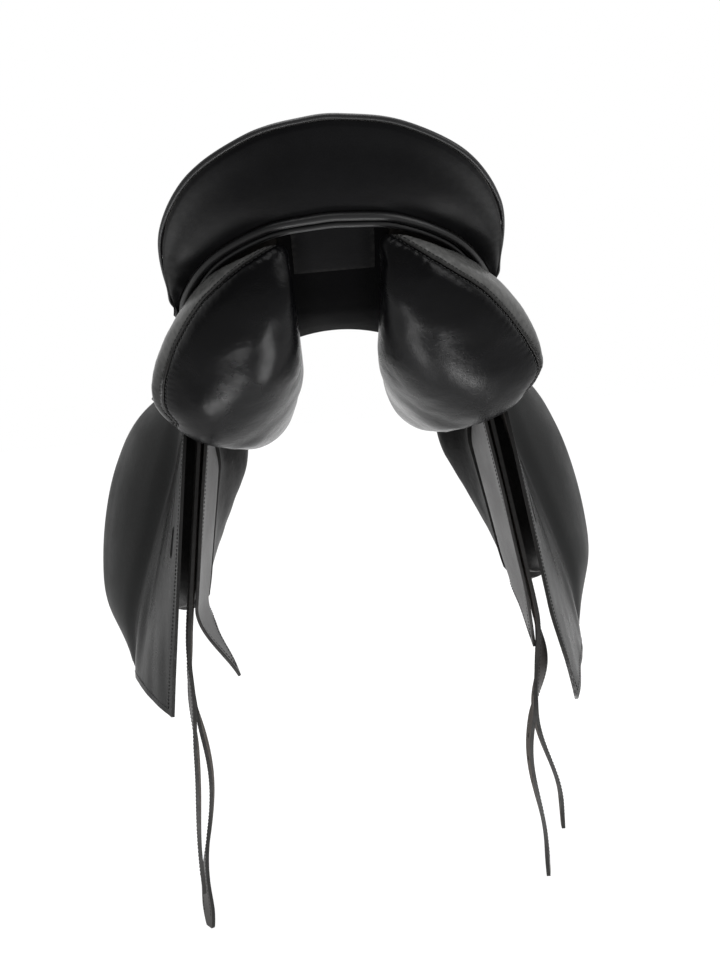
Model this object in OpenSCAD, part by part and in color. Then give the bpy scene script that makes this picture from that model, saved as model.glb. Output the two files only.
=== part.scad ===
// Dressage saddle: spring tree, seat, cantle, stuffed panels, flaps, billets and fittings.
// Millimetres. +Y points forward to the pommel, +X to the right-hand side and +Z up.
// The origin is on the centre line, under the middle of the seat, level with the top of the horse's back.

/* [Seat] */
// Full width of the cantle across its rim
cantle_w = 310; // [300:2:340]
// Height of the top of the cantle's rim
cantle_h = 229; // [215:1:245]
// Distance of the cantle's rim behind the middle of the seat
cantle_back = 262; // [250:1:275]
// Drop of the rim from its top to its widest place
rim_drop = 102; // [92:1:110]
// Height of the lower edge of the cantle's back, on the centre line
band_h = 148; // [138:1:152]
// Distance that the rim overhangs the lower edge of the cantle's back
rake = 32; // [24:1:40]
// Height of the seat's edge at the waist
edge_h = 52; // [49:1:58]
// Width of the seat's edge at the waist
waist_w = 190; // [184:2:198]
// Distance of the pommel in front of the middle of the seat
pommel_fwd = 222; // [214:1:232]
// Thickness of the seat leather
seat_leather = 2.5; // [1.5:0.5:3.5]
// Diameter of the piping round the rim
piping_d = 7; // [5:0.5:9]

/* [Tree] */
// Full width of the tree's cantle
tree_w = 284; // [270:2:296]
// Thickness of the tree's boards
board_t = 11; // [9:0.5:12]
// Thickness of the steel plates and springs
steel_t = 2; // [1.5:0.5:3]
// Thickness of the webbing
web_t = 2; // [1.5:0.5:2.5]
// Width of the girth webs
web_w = 32; // [26:1:36]

/* [Panels] */
// Width of the channel between the panels
gullet_w = 76; // [64:2:84]
// Full width across the panels at the back
panel_w = 364; // [346:2:372]
// How much further out the back of the right panel reaches
right_wider = 9; // [0:1:10]
// Depth of the panels below the top of the horse's back
panel_drop = 64; // [54:1:70]
// Distance that each side of the channel opens out towards the front
channel_flare = 17; // [0:1:20]
// Thickness of the tops of the front pads that lie inside the sweat flaps
front_pad_t = 46; // [36:1:50]

/* [Flaps] */
// Thickness of the flap leather
flap_t = 3.5; // [3:0.5:5]
// Thickness of the sweat flap leather
sweat_t = 3.5; // [2.5:0.5:4]
// Thickness of the skirt leather
skirt_t = 3.5; // [2.5:0.5:4]
// Half the distance between the flaps, level with the horse's back
hang_x = 155; // [152:1:162]
// Height of the flap's lowest edge, below the horse's back
flap_drop = 336; // [324:2:350]
// How much lower the rear corner of the right flap hangs
right_lower = 24; // [0:1:26]
// Distance that the thigh block pushes the flap outwards
block_rise = 94; // [84:2:100]
// How much further the left block pushes its flap than the middle value, and the right one less
block_lean = 7; // [0:1:10]
// Length of the keeper slot in the flap
slot_l = 32; // [26:1:38]
// Width of the keeper slot in the flap
slot_w = 8; // [6:1:10]

/* [Girth straps] */
// Width of the girth straps
billet_w = 25; // [22:1:28]
// Thickness of the girth straps
billet_t = 4; // [3:0.5:4.5]
// Diameter of the punched holes
hole_d = 5.5; // [4:0.5:7]
// Distance between the punched holes
hole_pitch = 25; // [20:1:28]
// Number of punched holes in each strap
hole_n = 6; // [4:1:6]

/* [Fittings] */
// Diameter of the wire of the front dee rings
dee_wire_d = 5; // [4:0.5:6]
// Inside width of the front dee rings
dee_in_w = 30; // [24:1:34]
// Length of the stirrup bar's blade
bar_l = 70; // [62:1:76]
// Height of the stirrup bar's blade
bar_h = 18; // [14:1:20]
// Thickness of the stirrup bar's blade
bar_t = 7; // [5:0.5:8]
// Diameter of the catch's pivot pin
pin_d = 4; // [3:0.5:5]
// Diameter of the saddle nails
nail_d = 14; // [10:1:16]

/* [Hidden] */

// Clearance between layers that lie on each other
lay = 0.4;
// Running clearance of pins and rings in their bores
run = 0.06;

// Curves and solids

function lerp(a, b, t) = a + (b - a) * t;
function ramp(a, b, v) = let (t = min(1, max(0, (v - a) / (b - a)))) t * t * (3 - 2 * t);
function unit(v) = v / norm(v);
// Ease that falls away from a straight line as it goes
function settle(t) = pow(t, 1.3) / (1 + 0.62 * t);
// Smooth curve through evenly numbered stations
function spline(p, s) =
  let (n = len(p) - 1, i = min(n - 1, max(0, floor(s))), t = s - i)
  let (a = p[max(0, i - 1)], b = p[i], c = p[i + 1], d = p[min(n, i + 2)])
  b + (c - a) / 2 * t + (a - 2.5 * b + 2 * c - d / 2) * t * t + (1.5 * (b - c) + (d - a) / 2) * t * t * t;
// Smooth closed curve through key points
function ring_curve(k, per) =
  [for (i = [0:len(k) - 1], m = [0:per - 1])
    let (n = len(k), t = m / per, a = k[(i + n - 1) % n], b = k[i], c = k[(i + 1) % n], d = k[(i + 2) % n])
    b + (c - a) / 2 * t + (a - 2.5 * b + 2 * c - d / 2) * t * t + (1.5 * (b - c) + (d - a) / 2) * t * t * t];
// Smooth curve through rows of [key, value]
function gradient(p, i) =
  let (a = p[max(0, i - 1)], b = p[min(len(p) - 1, i + 1)]) (b[1] - a[1]) / (b[0] - a[0]);
function profile(p, v, i = 0) =
  (i < len(p) - 2 && v > p[i + 1][0]) ? profile(p, v, i + 1) :
  let (h = p[i + 1][0] - p[i][0], t = min(1, max(0, (v - p[i][0]) / h)))
  let (m = gradient(p, i) * h, k = gradient(p, i + 1) * h, a = p[i][1], b = p[i + 1][1])
  a + m * t + (3 * (b - a) - 2 * m - k) * t * t + (2 * (a - b) + m + k) * t * t * t;

function quad(a, b, c, d) = [[a, b, c], [a, c, d]];
// Solid between two grids of points that have the same rows and columns
module skin(outer, inner) {
  r = len(outer);
  c = len(outer[0]);
  n = r * c;
  pts = concat([for (row = outer) each row], [for (row = inner) each row]);
  over = [for (i = [0:r - 2], j = [0:c - 2])
    let (k = i * c + j) each quad(k, k + c, k + c + 1, k + 1)];
  under = [for (f = over) [f[2] + n, f[1] + n, f[0] + n]];
  rim_a = [for (j = [0:c - 2]) each quad(j, j + 1, j + 1 + n, j + n)];
  rim_b = [for (j = [0:c - 2]) let (k = (r - 1) * c + j) each quad(k + 1, k, k + n, k + 1 + n)];
  rim_c = [for (i = [0:r - 2]) let (k = i * c) each quad(k + c, k, k + n, k + c + n)];
  rim_d = [for (i = [0:r - 2]) let (k = i * c + c - 1) each quad(k, k + c, k + c + n, k + n)];
  polyhedron(pts, concat(over, under, rim_a, rim_b, rim_c, rim_d));
}
// Solid through closed rings of points, with a point at the middle of each end
module loft(rings) {
  n = len(rings[0]);
  m = len(rings);
  mid = function (r) [for (k = [0:2]) [for (p = r) p[k]] * [for (p = r) 1] / n];
  pts = concat([for (r = rings) each r], [mid(rings[0]), mid(rings[m - 1])]);
  sides = [for (i = [0:m - 2], j = [0:n - 1])
    let (q = (j + 1) % n) each quad(i * n + j, i * n + q, (i + 1) * n + q, (i + 1) * n + j)];
  start = [for (j = [0:n - 1]) [(j + 1) % n, j, m * n]];
  end = [for (j = [0:n - 1]) [(m - 1) * n + j, (m - 1) * n + (j + 1) % n, m * n + 1]];
  polyhedron(pts, concat(sides, start, end));
}
// Round cord along a line of points
module tube(line, r, sides) {
  n = len(line) - 1;
  rings = [for (i = [0:n])
    let (t = unit(line[min(n, i + 1)] - line[max(0, i - 1)]))
    let (s = unit(cross(t, [0, 0.3, 1])), u = cross(s, t))
    [for (j = [0:sides - 1]) line[i] + r * (cos(360 * j / sides) * s + sin(360 * j / sides) * u)]];
  loft(rings);
}
module on_side(side) {
  mirror([side < 0 ? 1 : 0, 0, 0]) children();
}

// Seat and tree: a rim line, a base line and the layers between them

// Angles of the stations round the back of the cantle
back_angles = [6, 25, 50, 75, 98, 117];
// The sides of the back stay wide towards the waist
function girdle(a) = a < 90 ? sin(a) : (1 + sin(a)) / 2;
// Run of the rim, and of the tree's back, from its end to its widest place
rim_run = 75;
base_run = 90;
// Height that the tree's back falls towards at the sides
base_side = 35;
base_fall = band_h - base_side;
waist_x = waist_w / 2;
rim = concat(
  [for (a = back_angles)
    let (c = 1 - cos(a))
    [cantle_w / 2 * girdle(a), rim_run * pow(c, 1.6) - cantle_back, cantle_h - rim_drop * c]],
  [
    [waist_x + 6, -40, edge_h + 5],
    [waist_x, 30, edge_h],
    [waist_x - 5, 100, edge_h + 8],
    [waist_x - 15, pommel_fwd - 57, edge_h + 35],
    [waist_x - 40, pommel_fwd - 17, edge_h + 64],
    [22, pommel_fwd, edge_h + 82]
  ]);
base = concat(
  [for (a = back_angles)
    let (c = 1 - cos(a))
    [tree_w / 2 * girdle(a), rake - cantle_back + base_run * c, band_h - base_fall * settle(c)]],
  [
    [waist_x - 4, -40, edge_h - 14],
    [waist_x - 9, 30, edge_h - 20],
    [waist_x - 15, 100, edge_h - 14],
    [waist_x - 23, pommel_fwd - 57, edge_h + 8],
    [waist_x - 45, pommel_fwd - 17, edge_h + 32],
    [20, pommel_fwd - 2, edge_h + 44]
  ]);
// Height of the tree's middle above its edge, at each station
arch = [0.3, 1, -3, 3, 7.5, 15, 20, 22, 22, 19, 13, 7];
// Height of the seat's middle above the tree's middle, from the third to the sixth station
padding = [60.8, 45.8, 44.8, 44.4];
// Height of the seat's middle above its edge, at each station
crown = concat(
  [0, 1],
  [for (i = [2:5]) base[i].z + arch[i] + padding[i - 2] - rim[i].z],
  [38, 39, 39, 35, 26, 12]);
// Distance of the seat's middle in front of its edge, at each station
dish = [4, 10, 16, 11, 4, 0, 0, 0, 0, 0, 0, -1];
// Share of that distance that goes at the edge
dish_edge = 0.65;
last = len(rim) - 1;

function bowed(line, lift, s, u) =
  let (p = spline(line, s)) [u * p.x, p.y, p.z + spline(lift, s) * (1 - u * u)];
function seat_pt(s, u) = bowed(rim, crown, s, u) + [0, spline(dish, s) * (1 - dish_edge * pow(u, 4)), 0];
function base_pt(s, u) = bowed(base, arch, s, u);
function seat_out(s, u) =
  unit(cross(seat_pt(s, u + 0.01) - seat_pt(s, u - 0.01), seat_pt(s + 0.03, u) - seat_pt(s - 0.03, u)));
// Point at a distance above the base, or below the seat's surface
function above(s, u, t) = let (b = base_pt(s, u)) b + unit(seat_pt(s, u) - b) * t;
function below(s, u, t) = seat_pt(s, u) - seat_out(s, u) * t;
function steps(a, b, n) = [for (i = [0:n]) lerp(a, b, i / n)];
// Layer of the seat between two heights above the base
module layer(stations, across, low, high) {
  skin([for (s = stations) [for (u = across) above(s, u, high)]],
       [for (s = stations) [for (u = across) above(s, u, low)]]);
}

// Where the tree's pieces meet, in stations
cantle_end = 2.98;
rail_start = 3.02;
rail_end = 8.98;
head_start = 9.02;
// Part of the half width that the rails take up
rail_in = 0.52;
rail_out = 0.98;
web_low = board_t + 2 * lay;

module cantle_board() {
  color("tan") layer(steps(0, cantle_end, 8), steps(-rail_out, rail_out, 8), 0, board_t);
}
module tree_rail(side) {
  color("tan") on_side(side) layer(steps(rail_start, rail_end, 16), steps(rail_in, rail_out, 3), 0, board_t);
}
module tree_head() {
  color("tan") layer(steps(head_start, last, 8), steps(-rail_out, rail_out, 8), 0, board_t);
}
module gullet_plate() {
  color("gray") layer(steps(9.4, 10.4, 5), steps(-0.9, 0.9, 8), -lay - steel_t, -lay);
}
module spring(side) {
  high = -1.5 * lay;
  color("gray") on_side(side)
    layer(steps(rail_start, rail_end, 16), steps(0.72, 0.86, 1), high - steel_t, high);
}
// Rivets through the head and the gullet plate
module tree_rivets() {
  color("silver")
    for (s = [9.65, 10.15], u = [-0.6, 0, 0.6])
      translate(above(s, u, -steel_t - 2 * lay - 2)) rivet_turn(s, u) cylinder(h = 1.6, d = 8, $fn = 24);
}
module rivet_turn(s, u) {
  side = above(s, u + 0.05, 0) - above(s, u - 0.05, 0);
  n = unit(cross(side, above(s + 0.05, u, 0) - above(s - 0.05, u, 0)));
  rotate([0, acos(n.z), atan2(n.y, n.x)]) children();
}
module long_web() {
  low = web_low + web_t + lay;
  color("ivory") layer(steps(1.2, 10.2, 24), steps(-0.22, 0.22, 2), low, low + web_t);
}

// Stations of the girth webs, and where the straps hang from them
web_stations = [6.68, 5.98];
function web_y(i) = base_pt(web_stations[i], 1).y;
function near_station(y, s = 5) = base_pt(s, 1).y >= y ? s : near_station(y, s + 0.02);
module girth_web(i) {
  y = web_y(i);
  rows = [near_station(y - web_w / 2), web_stations[i], near_station(y + web_w / 2)];
  across = steps(-1, 1, 12);
  // The ends run on past the seat to the tops of the straps
  drop_z = billet_top - 3;
  tip = billet_x(i, drop_z + web_t / 2) - 0.8 * billet_t - lay;
  edge = function (s, k, t) [k * tip, above(s, k, t).y, drop_z + t - web_low - web_t / 2];
  line = function (s, t) concat([edge(s, -1, t)], [for (u = across) above(s, u, t)], [edge(s, 1, t)]);
  color("ivory") skin([for (s = rows) line(s, web_low + web_t)], [for (s = rows) line(s, web_low)]);
}

// The foam starts below the cantle's rim, and fills this part of the half width
foam_start = 1.65;
foam_u = 0.85;
foam_t = 3;
foam_low = web_low + 2 * web_t + 4 * lay;
module seat_foam() {
  rows = steps(foam_start, last - 0.06, 26);
  across = steps(-foam_u, foam_u, 8);
  high = seat_leather + 2 * lay;
  under = function (s, u) lerp(below(s, u, high + foam_t), above(s, u, foam_low), ramp(foam_start, 4, s));
  color("khaki")
    skin([for (s = rows) [for (u = across) below(s, u, high)]],
         [for (s = rows) [for (u = across) under(s, u)]]);
}
module seat_cover() {
  rows = steps(0, last, 30);
  across = steps(-1, 1, 12);
  color("dimgray")
    skin([for (s = rows) [for (u = across) seat_pt(s, u)]],
         [for (s = rows) [for (u = across) below(s, u, seat_leather)]]);
}

// The upright faces at the two ends of the seat

// Half of the flat middle stretch of an end, in stations
flat = 0.3;
function end_station(end, q) = let (s = max(0, abs(q) - flat)) end < 0 ? s : last - s;
function end_side(q) = abs(q) < flat ? q / flat : sign(q);
function wall(end, q, h) =
  let (s = end_station(end, q), p = lerp(spline(base, s), spline(rim, s), h)) [end_side(q) * p.x, p.y, p.z];
function wall_h(end, q) = let (s = end_station(end, q)) norm(spline(rim, s) - spline(base, s));
function wall_up(end, q) = unit(wall(end, q, 1) - wall(end, q, 0));
function wall_along(end, q, h) = unit(wall(end, q + 0.15, h) - wall(end, q - 0.15, h));
function wall_out(end, q, h) = end * unit(cross(wall_up(end, q), wall_along(end, q, h)));
// Direction in the face that is square to its edge, and the slant of the face's own lines against it
function wall_rise(end, q, h) = end * cross(wall_along(end, q, h), wall_out(end, q, h));
function wall_slant(end, q, h) = wall_up(end, q) * wall_rise(end, q, h);
// Point on an end, a part of the way up its face and out from it
function wall_pt(end, q, h, out) = wall(end, q, h) + wall_out(end, q, h) * out;

// Reach of the back's leather round the sides, in stations
back_reach = 5.85;
// Swell of the back's leather at its middle
back_swell = 4;
welt_d = [8, 6];
module cantle_facing() {
  qs = steps(-back_reach, back_reach, 44);
  hs = steps(0, 1, 4);
  low = function (q) (welt_d[0] / 2 + lay) / wall_slant(-1, q, 0) / wall_h(-1, q);
  high = function (q) 1 - (piping_d / 2 + 4 * lay) / wall_slant(-1, q, 1) / wall_h(-1, q);
  at = function (q, h, out) wall_pt(-1, q, lerp(low(q), high(q), h), out);
  color("black")
    skin([for (h = hs) [for (q = qs) at(q, h, lay + seat_leather + back_swell * sin(180 * h))]],
         [for (h = hs) [for (q = qs) at(q, h, lay)]]);
}
module cantle_piping() {
  line = [for (q = steps(-back_reach, back_reach, 46)) wall_pt(-1, q, 1, piping_d / 2 + 3 * lay)];
  color("black") tube(line, piping_d / 2, 7);
}
module band_welt(i) {
  drop = i * (welt_d[0] / 2 + welt_d[1] / 2 + lay);
  reach = back_reach - 0.4 * i;
  line = [for (q = steps(-reach, reach, 38))
    wall_pt(-1, q, 0, welt_d[0] / 2 + lay - 2 * i) - drop * wall_rise(-1, q, 0)];
  color("black") tube(line, welt_d[i] / 2, 6);
}
lining_t = 2.6;
lining_gap = 0.9;
module gullet_lining() {
  half = gullet_w / 2 + 12;
  back = [for (s = steps(0, cantle_end, 8)) max(0.1, s)];
  rows = concat(back, steps(rail_start, rail_end, 16), [head_start, 9.3]);
  reach = function (s) min(0.96, half / spline(base, s).x);
  color("black")
    skin([for (s = rows) [for (u = steps(-1, 1, 6)) above(s, u * reach(s), -lining_gap)]],
         [for (s = rows) [for (u = steps(-1, 1, 6)) above(s, u * reach(s), -lining_gap - lining_t)]]);
}
front_reach = 2.3;
module pommel_facing() {
  qs = steps(-front_reach, front_reach, 16);
  hs = steps(0, 1, 3);
  at = function (q, h, out) wall_pt(1, q, lerp(0.02, 0.97, h), out);
  color("black")
    skin([for (h = hs) [for (q = qs) at(q, h, lay)]],
         [for (h = hs) [for (q = qs) at(q, h, lay + seat_leather)]]);
}

// Sides: sheets that hang at both sides, as distances out from the centre line

// Height of the flap's hinge line
hinge_z = 53;
// Draw of the flap's top towards the seat, and the height where it starts
shoulder = 37;
shoulder_z = -20;
// Outward lean of the flap and of the sweat flap, for each millimetre of drop
splay = 0.155;
sweat_splay = 0.165;
// Distance of the sweat flap inside the flap
sweat_gap = 21;
// Outward turn of the sweat flap's front part, for each millimetre of drop
sweat_turn = 0.23;
// Share of the thigh block's push against height, as a part of the flap's drop
bulge = [
  [-1.16, 0], [-1, 0.33], [-0.84, 0.68], [-0.71, 0.92], [-0.59, 1],
  [-0.4, 1], [-0.23, 0.9], [-0.087, 0.68], [0.058, 0.16], [0.154, 0]
];
// Share of the thigh block's push against distance forward
push = [
  [-90, 0], [8, 0], [20, 0.08], [40, 0.36], [65, 0.66], [90, 0.86], [120, 1], [170, 0.97], [215, 0.8]
];
// Outward fan of the left and the right flap behind the block, for each millimetre of drop
fan_left = 0.16;
fan_right = 0.12;
// Share of the fan against distance from the rear edge
fan = [[0, 0], [26, 0.38], [56, 0.75], [80, 0.95], [94, 1], [290, 1]];
// Outward turn of the rear lower corner of the right flap
corner_turn = 7;
// Hollow of the sweat flap behind the front pad
sweat_hollow = 9;
// Inward curl of the rear lower corner of the left and the right sweat flap
curl_left = 58;
curl_right = 6;

function hang(z) = hang_x - splay * z - shoulder * pow(max(0, z - shoulder_z) / (hinge_z - shoulder_z), 2);
function flap_x(k, y, z) =
  let (out = k[2] * max(0, -z), d = y - profile(flap_back, (hinge_z - z) / (hinge_z + flap_drop)))
  hang(z) + out * profile(fan, d) + max(0, k[1] * profile(bulge, z / flap_drop) - out) * profile(push, y)
  + k[3] * ramp(-250, -345, z) * (1 - ramp(0, 50, d));
function sweat_x(curl, y, z) =
  hang_x - sweat_gap - sweat_splay * z + sweat_turn * (20 - z) * ramp(15, 150, y)
  - sweat_hollow * ramp(-50, 40, y) * (ramp(-45, -90, z) - ramp(-200, -300, z))
  - curl * ramp(-220, -325, z) * (1 - 0.25 * ramp(20, 150, y));
// A sheet is a flap with the rise of its block, its fan and its turn, or a sweat flap with its curl
function flap_sheet(side) = side < 0
  ? [0, block_rise + block_lean, fan_left, 0]
  : [0, block_rise - block_lean, fan_right, corner_turn];
function sweat_sheet(side) = [1, side < 0 ? curl_left : curl_right];
function sheet_x(k, y, z) = k[0] == 0 ? flap_x(k, y, z) : sweat_x(k[1], y, z);
function sheet_slope(k, y, z) =
  let (y_slope = sheet_x(k, y - 0.5, z) - sheet_x(k, y + 0.5, z))
  [1, y_slope, sheet_x(k, y, z - 0.5) - sheet_x(k, y, z + 0.5)];
function sheet_pt(k, y, z, out) = [sheet_x(k, y, z), y, z] + out * unit(sheet_slope(k, y, z));

// Outline of a sheet: rear and front edges against the part of the height,
// top and bottom edges against the part of the length
function flap_top(a) = hinge_z - 57 * (ramp(0.22, 0.3, a) - ramp(0.8, 0.88, a));
flap_rise = [[0, 0], [0.3, 23], [0.6, 37], [0.85, 60], [1, 110]];
flap_back = [[0, -30], [0.14, -62], [0.27, -76], [0.5, -72], [0.85, -58], [1, -45]];
flap_fore = [[0, 175], [0.15, 180], [0.4, 200], [0.65, 195], [1, 140]];
function flap_yz(a, q, more) = [
  lerp(profile(flap_back, q), profile(flap_fore, q), a),
  lerp(flap_top(a), profile(flap_rise, a) - flap_drop - more * (1 - a), q)
];
sweat_top = 2;
sweat_back = [[0, -46], [0.2, -60], [0.6, -58], [0.85, -50], [1, -38]];
sweat_fore = [[0, 140], [0.3, 180], [0.6, 188], [1, 140]];
sweat_rise = [[0, 35], [0.12, 50], [0.25, 74], [0.6, 112], [1, 150]];
function sweat_yz(a, q) = [
  lerp(profile(sweat_back, q), profile(sweat_fore, q), a),
  lerp(sweat_top, profile(sweat_rise, a) - flap_drop, q)
];
skirt_back = [[0, -8], [0.5, 2], [1, 26]];
skirt_fore = [[0, 168], [0.5, 172], [1, 142]];
skirt_drop = 14;
function skirt_yz(a, q) = [
  lerp(profile(skirt_back, q), profile(skirt_fore, q), a),
  lerp(hinge_z + 2, 16 * pow(abs(2 * a - 1), 3) - skirt_drop, q)
];
// Gap between the flap and the skirt over it
skirt_gap = 1.7;

// Stuffed panels
panel_x = panel_w / 2;
// The waist of the panel comes up to the sweat flap
panel_waist = hang_x - sweat_gap + sweat_splay * 12 - sweat_t / 2 - 0.6;
panel_out = [
  panel_x - 25, panel_x - 8, panel_x, panel_x - 2, panel_x - 14, panel_waist + 9.4,
  panel_waist - 2, panel_waist, panel_waist - 2, panel_waist - 16, panel_waist - 36, panel_waist - 44
];
// Share of the right panel's extra width, at each station
panel_swell = [1, 1, 1, 1, 0.7, 0.1, 0, 0, 0, 0, 0, 0];
panel_mid = [20, 12, 4, 0, -8, -11, -12, -12, -10, 0, 25, 40];
panel_lift = [106, 88, 54, 26, 10, 3, 0, 0, 4, 22, 59, 84];
// Distance that the outer side of the panel's back lies forward of its inner side
panel_sweep = 46;
// Gap over the panel, which is wider under the welts at the back
function panel_gap(s) = lerp(13.6, lining_gap + lining_t + lay, ramp(2, 3.6, s));
// The channel opens out towards the front
function channel(s) = gullet_w / 2 + channel_flare * ramp(4, 9, s);
function base_at(s, x) =
  let (b = spline(base, s), u = min(1, x / b.x))
  b.z + spline(arch, s) * (1 - u * u) - max(0, x - b.x) * 0.5;
panel_start = 1;
panel_end = 9;
function panel_ring(s, wider) =
  let (xi = channel(s), xo = spline(panel_out, s) + wider * spline(panel_swell, s))
  let (xt = xi + 10, xm = (xt + xo - 13) / 2)
  let (zo = spline(panel_mid, s), zb = spline(panel_lift, s) - panel_drop)
  let (zt = base_at(s, xt) - panel_gap(s), zm = base_at(s, xm) - panel_gap(s) - 4 * ramp(2, 4, s))
  let (r = 1 - ramp(4, 7, s))
  ring_curve([
    [xt, zt],
    [xi, lerp(zt, zb, 0.2)],
    [xi + 3 * r, lerp(zt, zb, 0.55)],
    [xi + 16 + 20 * r, lerp(zt, zb, 0.88 - 0.03 * r)],
    [lerp(xi, xo, 0.55 + 0.07 * r), zb],
    [xo - 11 - 3 * r, lerp(zb, zo, 0.42 - 0.1 * r)],
    [xo, zo],
    [xo - 13 - 7 * r, lerp(zo, zm, 0.45 + 0.05 * r)],
    [xm, zm]
  ], 3);
// Distance forward of a point of the panel, whose back follows the curve of the cantle
function panel_y(s, wider, x) =
  let (xi = channel(s), xo = spline(panel_out, s) + wider * spline(panel_swell, s))
  let (f = min(1, max(0, (x - xi) / (xo - xi))))
  spline(base, s).y + panel_sweep * (1 - ramp(1, 4.6, s)) * f * f;
function panel_row(s, wider) = [for (p = panel_ring(s, wider)) [p[0], panel_y(s, wider, p[0]), p[1]]];
// Rounded end of a panel: its end ring drawn in as it goes out
function panel_cap(s, wider, e, reach) =
  let (r = panel_ring(s, wider), f = sqrt(1 - e * e), low = min([for (p = r) p[1]]))
  let (c = [for (k = [0, 1]) (r[3][k] + r[18][k] + r[0][k] + r[24][k]) / 4])
  [for (p = r)
    let (b = max(0, (c[1] - p[1]) / (c[1] - low)), m = lerp(c, p, lerp(f, 1 - e, 0.5 * b)))
    [m[0], panel_y(s, wider, m[0]) + reach * e, m[1]]];
module panel(side) {
  caps = [0.98, 0.87, 0.66, 0.36];
  wider = side < 0 ? 0 : right_wider;
  rings = concat(
    [for (e = caps) panel_cap(panel_start, wider, e, -21)],
    [for (s = steps(panel_start, panel_end, 20)) panel_row(s, wider)],
    [for (i = [3:-1:0]) panel_cap(panel_end, wider, caps[i], 26)]);
  color("dimgray") on_side(side) loft(rings);
}
module front_pad(side) {
  k = sweat_sheet(side);
  back = sweat_t / 2 + 2 * lay;
  yz = function (a, q) [lerp(58, 176, a) - 14 * q, lerp(-62, -252 + 26 * pow(2 * a - 1, 2), q)];
  fat = function (a, q)
    5 + (front_pad_t * (1 - 0.75 * q) - 5) * ramp(0, 0.3, min(a, 1 - a)) * ramp(-0.3, 0.05, q);
  at = function (a, q, out) let (p = yz(a, q)) sheet_pt(k, p[0], p[1], out);
  color("dimgray") on_side(side)
    skin([for (q = steps(0, 1, 9)) [for (a = steps(0, 1, 9)) at(a, q, -back - fat(a, q))]],
         [for (q = steps(0, 1, 9)) [for (a = steps(0, 1, 9)) at(a, q, -back)]]);
}
module sweat_flap(side) {
  k = sweat_sheet(side);
  at = function (a, q, out) let (p = sweat_yz(a, q)) sheet_pt(k, p[0], p[1], out);
  color("gray") on_side(side)
    skin([for (q = steps(0, 1, 12)) [for (a = steps(0, 1, 10)) at(a, q, -sweat_t / 2)]],
         [for (q = steps(0, 1, 12)) [for (a = steps(0, 1, 10)) at(a, q, sweat_t / 2)]]);
}
// The block fills the space between the sweat flap and the flap
module thigh_block(side) {
  k = sweat_sheet(side);
  over = flap_sheet(side);
  yz = function (a, q) [lerp(46, 162, a) - 7 * q, lerp(-30, -246 + 30 * pow(2 * a - 1, 2), q)];
  fill = function (a, q) ramp(0, 0.3, min(a, 1 - a)) * ramp(0, 0.22, min(q, 1 - q));
  in_pt = function (a, q) let (p = yz(a, q)) sheet_pt(k, p[0], p[1], sweat_t / 2 + 3 * lay);
  out_pt = function (a, q)
    let (i = in_pt(a, q), n = norm(sheet_slope(over, i.y, i.z)))
    [lerp(i.x + 6, sheet_x(over, i.y, i.z) - (flap_t / 2 + 3 * lay) * n, fill(a, q)), i.y, i.z];
  color("gray") on_side(side)
    skin([for (q = steps(0, 1, 10)) [for (a = steps(0, 1, 10)) in_pt(a, q)]],
         [for (q = steps(0, 1, 10)) [for (a = steps(0, 1, 10)) out_pt(a, q)]]);
}
// Keeper slot for the end of the stirrup leather
slot_y = -46;
slot_z = -152;
// Rows of the flap, closer together over its shoulder
flap_rows = concat(steps(0, 0.15, 4), steps(0.22, 1, 10));
module flap(side) {
  more = side < 0 ? 0 : right_lower;
  k = flap_sheet(side);
  at = function (a, q, out) let (p = flap_yz(a, q, more)) sheet_pt(k, p[0], p[1], out);
  color("black") on_side(side) difference() {
    skin([for (q = flap_rows) [for (a = steps(0, 1, 16)) at(a, q, -flap_t / 2)]],
         [for (q = flap_rows) [for (a = steps(0, 1, 16)) at(a, q, flap_t / 2)]]);
    translate([sheet_x(k, slot_y, slot_z) - 20, slot_y, slot_z]) rotate([0, 90, 0]) linear_extrude(40) {
      square([slot_l - slot_w, slot_w], center = true);
      for (k = [-1, 1]) translate([k * (slot_l - slot_w) / 2, 0]) circle(d = slot_w, $fn = 24);
    }
  }
}
module skirt(side) {
  low = flap_t / 2 + skirt_gap;
  k = flap_sheet(side);
  at = function (a, q, out) let (p = skirt_yz(a, q)) sheet_pt(k, p[0], p[1], out);
  color("black") on_side(side)
    skin([for (q = steps(0, 1, 8)) [for (a = steps(0, 1, 12)) at(a, q, low)]],
         [for (q = steps(0, 1, 8)) [for (a = steps(0, 1, 12)) at(a, q, low + skirt_t)]]);
}
// Yoke of leather from the seat's edge down to the tops of the flap and the skirt
yoke_t = 4;
module seat_yoke(side) {
  x = hang(hinge_z) - flap_t / 2 - 0.9;
  rows = steps(6.05, 8.94, 12);
  at = function (s, u, t)
    let (p = spline(rim, s), d = 1 - (1 - u) * (1 - u))
    [lerp(p.x + lay, x, u), p.y, lerp(p.z - 1, hinge_z - 0.5, d) - t];
  color("black") on_side(side)
    skin([for (s = rows) [for (u = steps(0, 1, 4)) at(s, u, 0)]],
         [for (s = rows) [for (u = steps(0, 1, 4)) at(s, u, yoke_t)]]);
}

// Girth straps

billet_top = 46;
// Length below the horse's back, lean of the free part, bow of the free part and twist, for each strap
billets = [[[590, 3, -16, 12], [530, 6, -3, 16]], [[518, 8, -16, 20], [550, -14, -16, 34]]];
// Heights where the strap leaves the flap's line
leave_z = -240;
leave_soft = 60;
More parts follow.
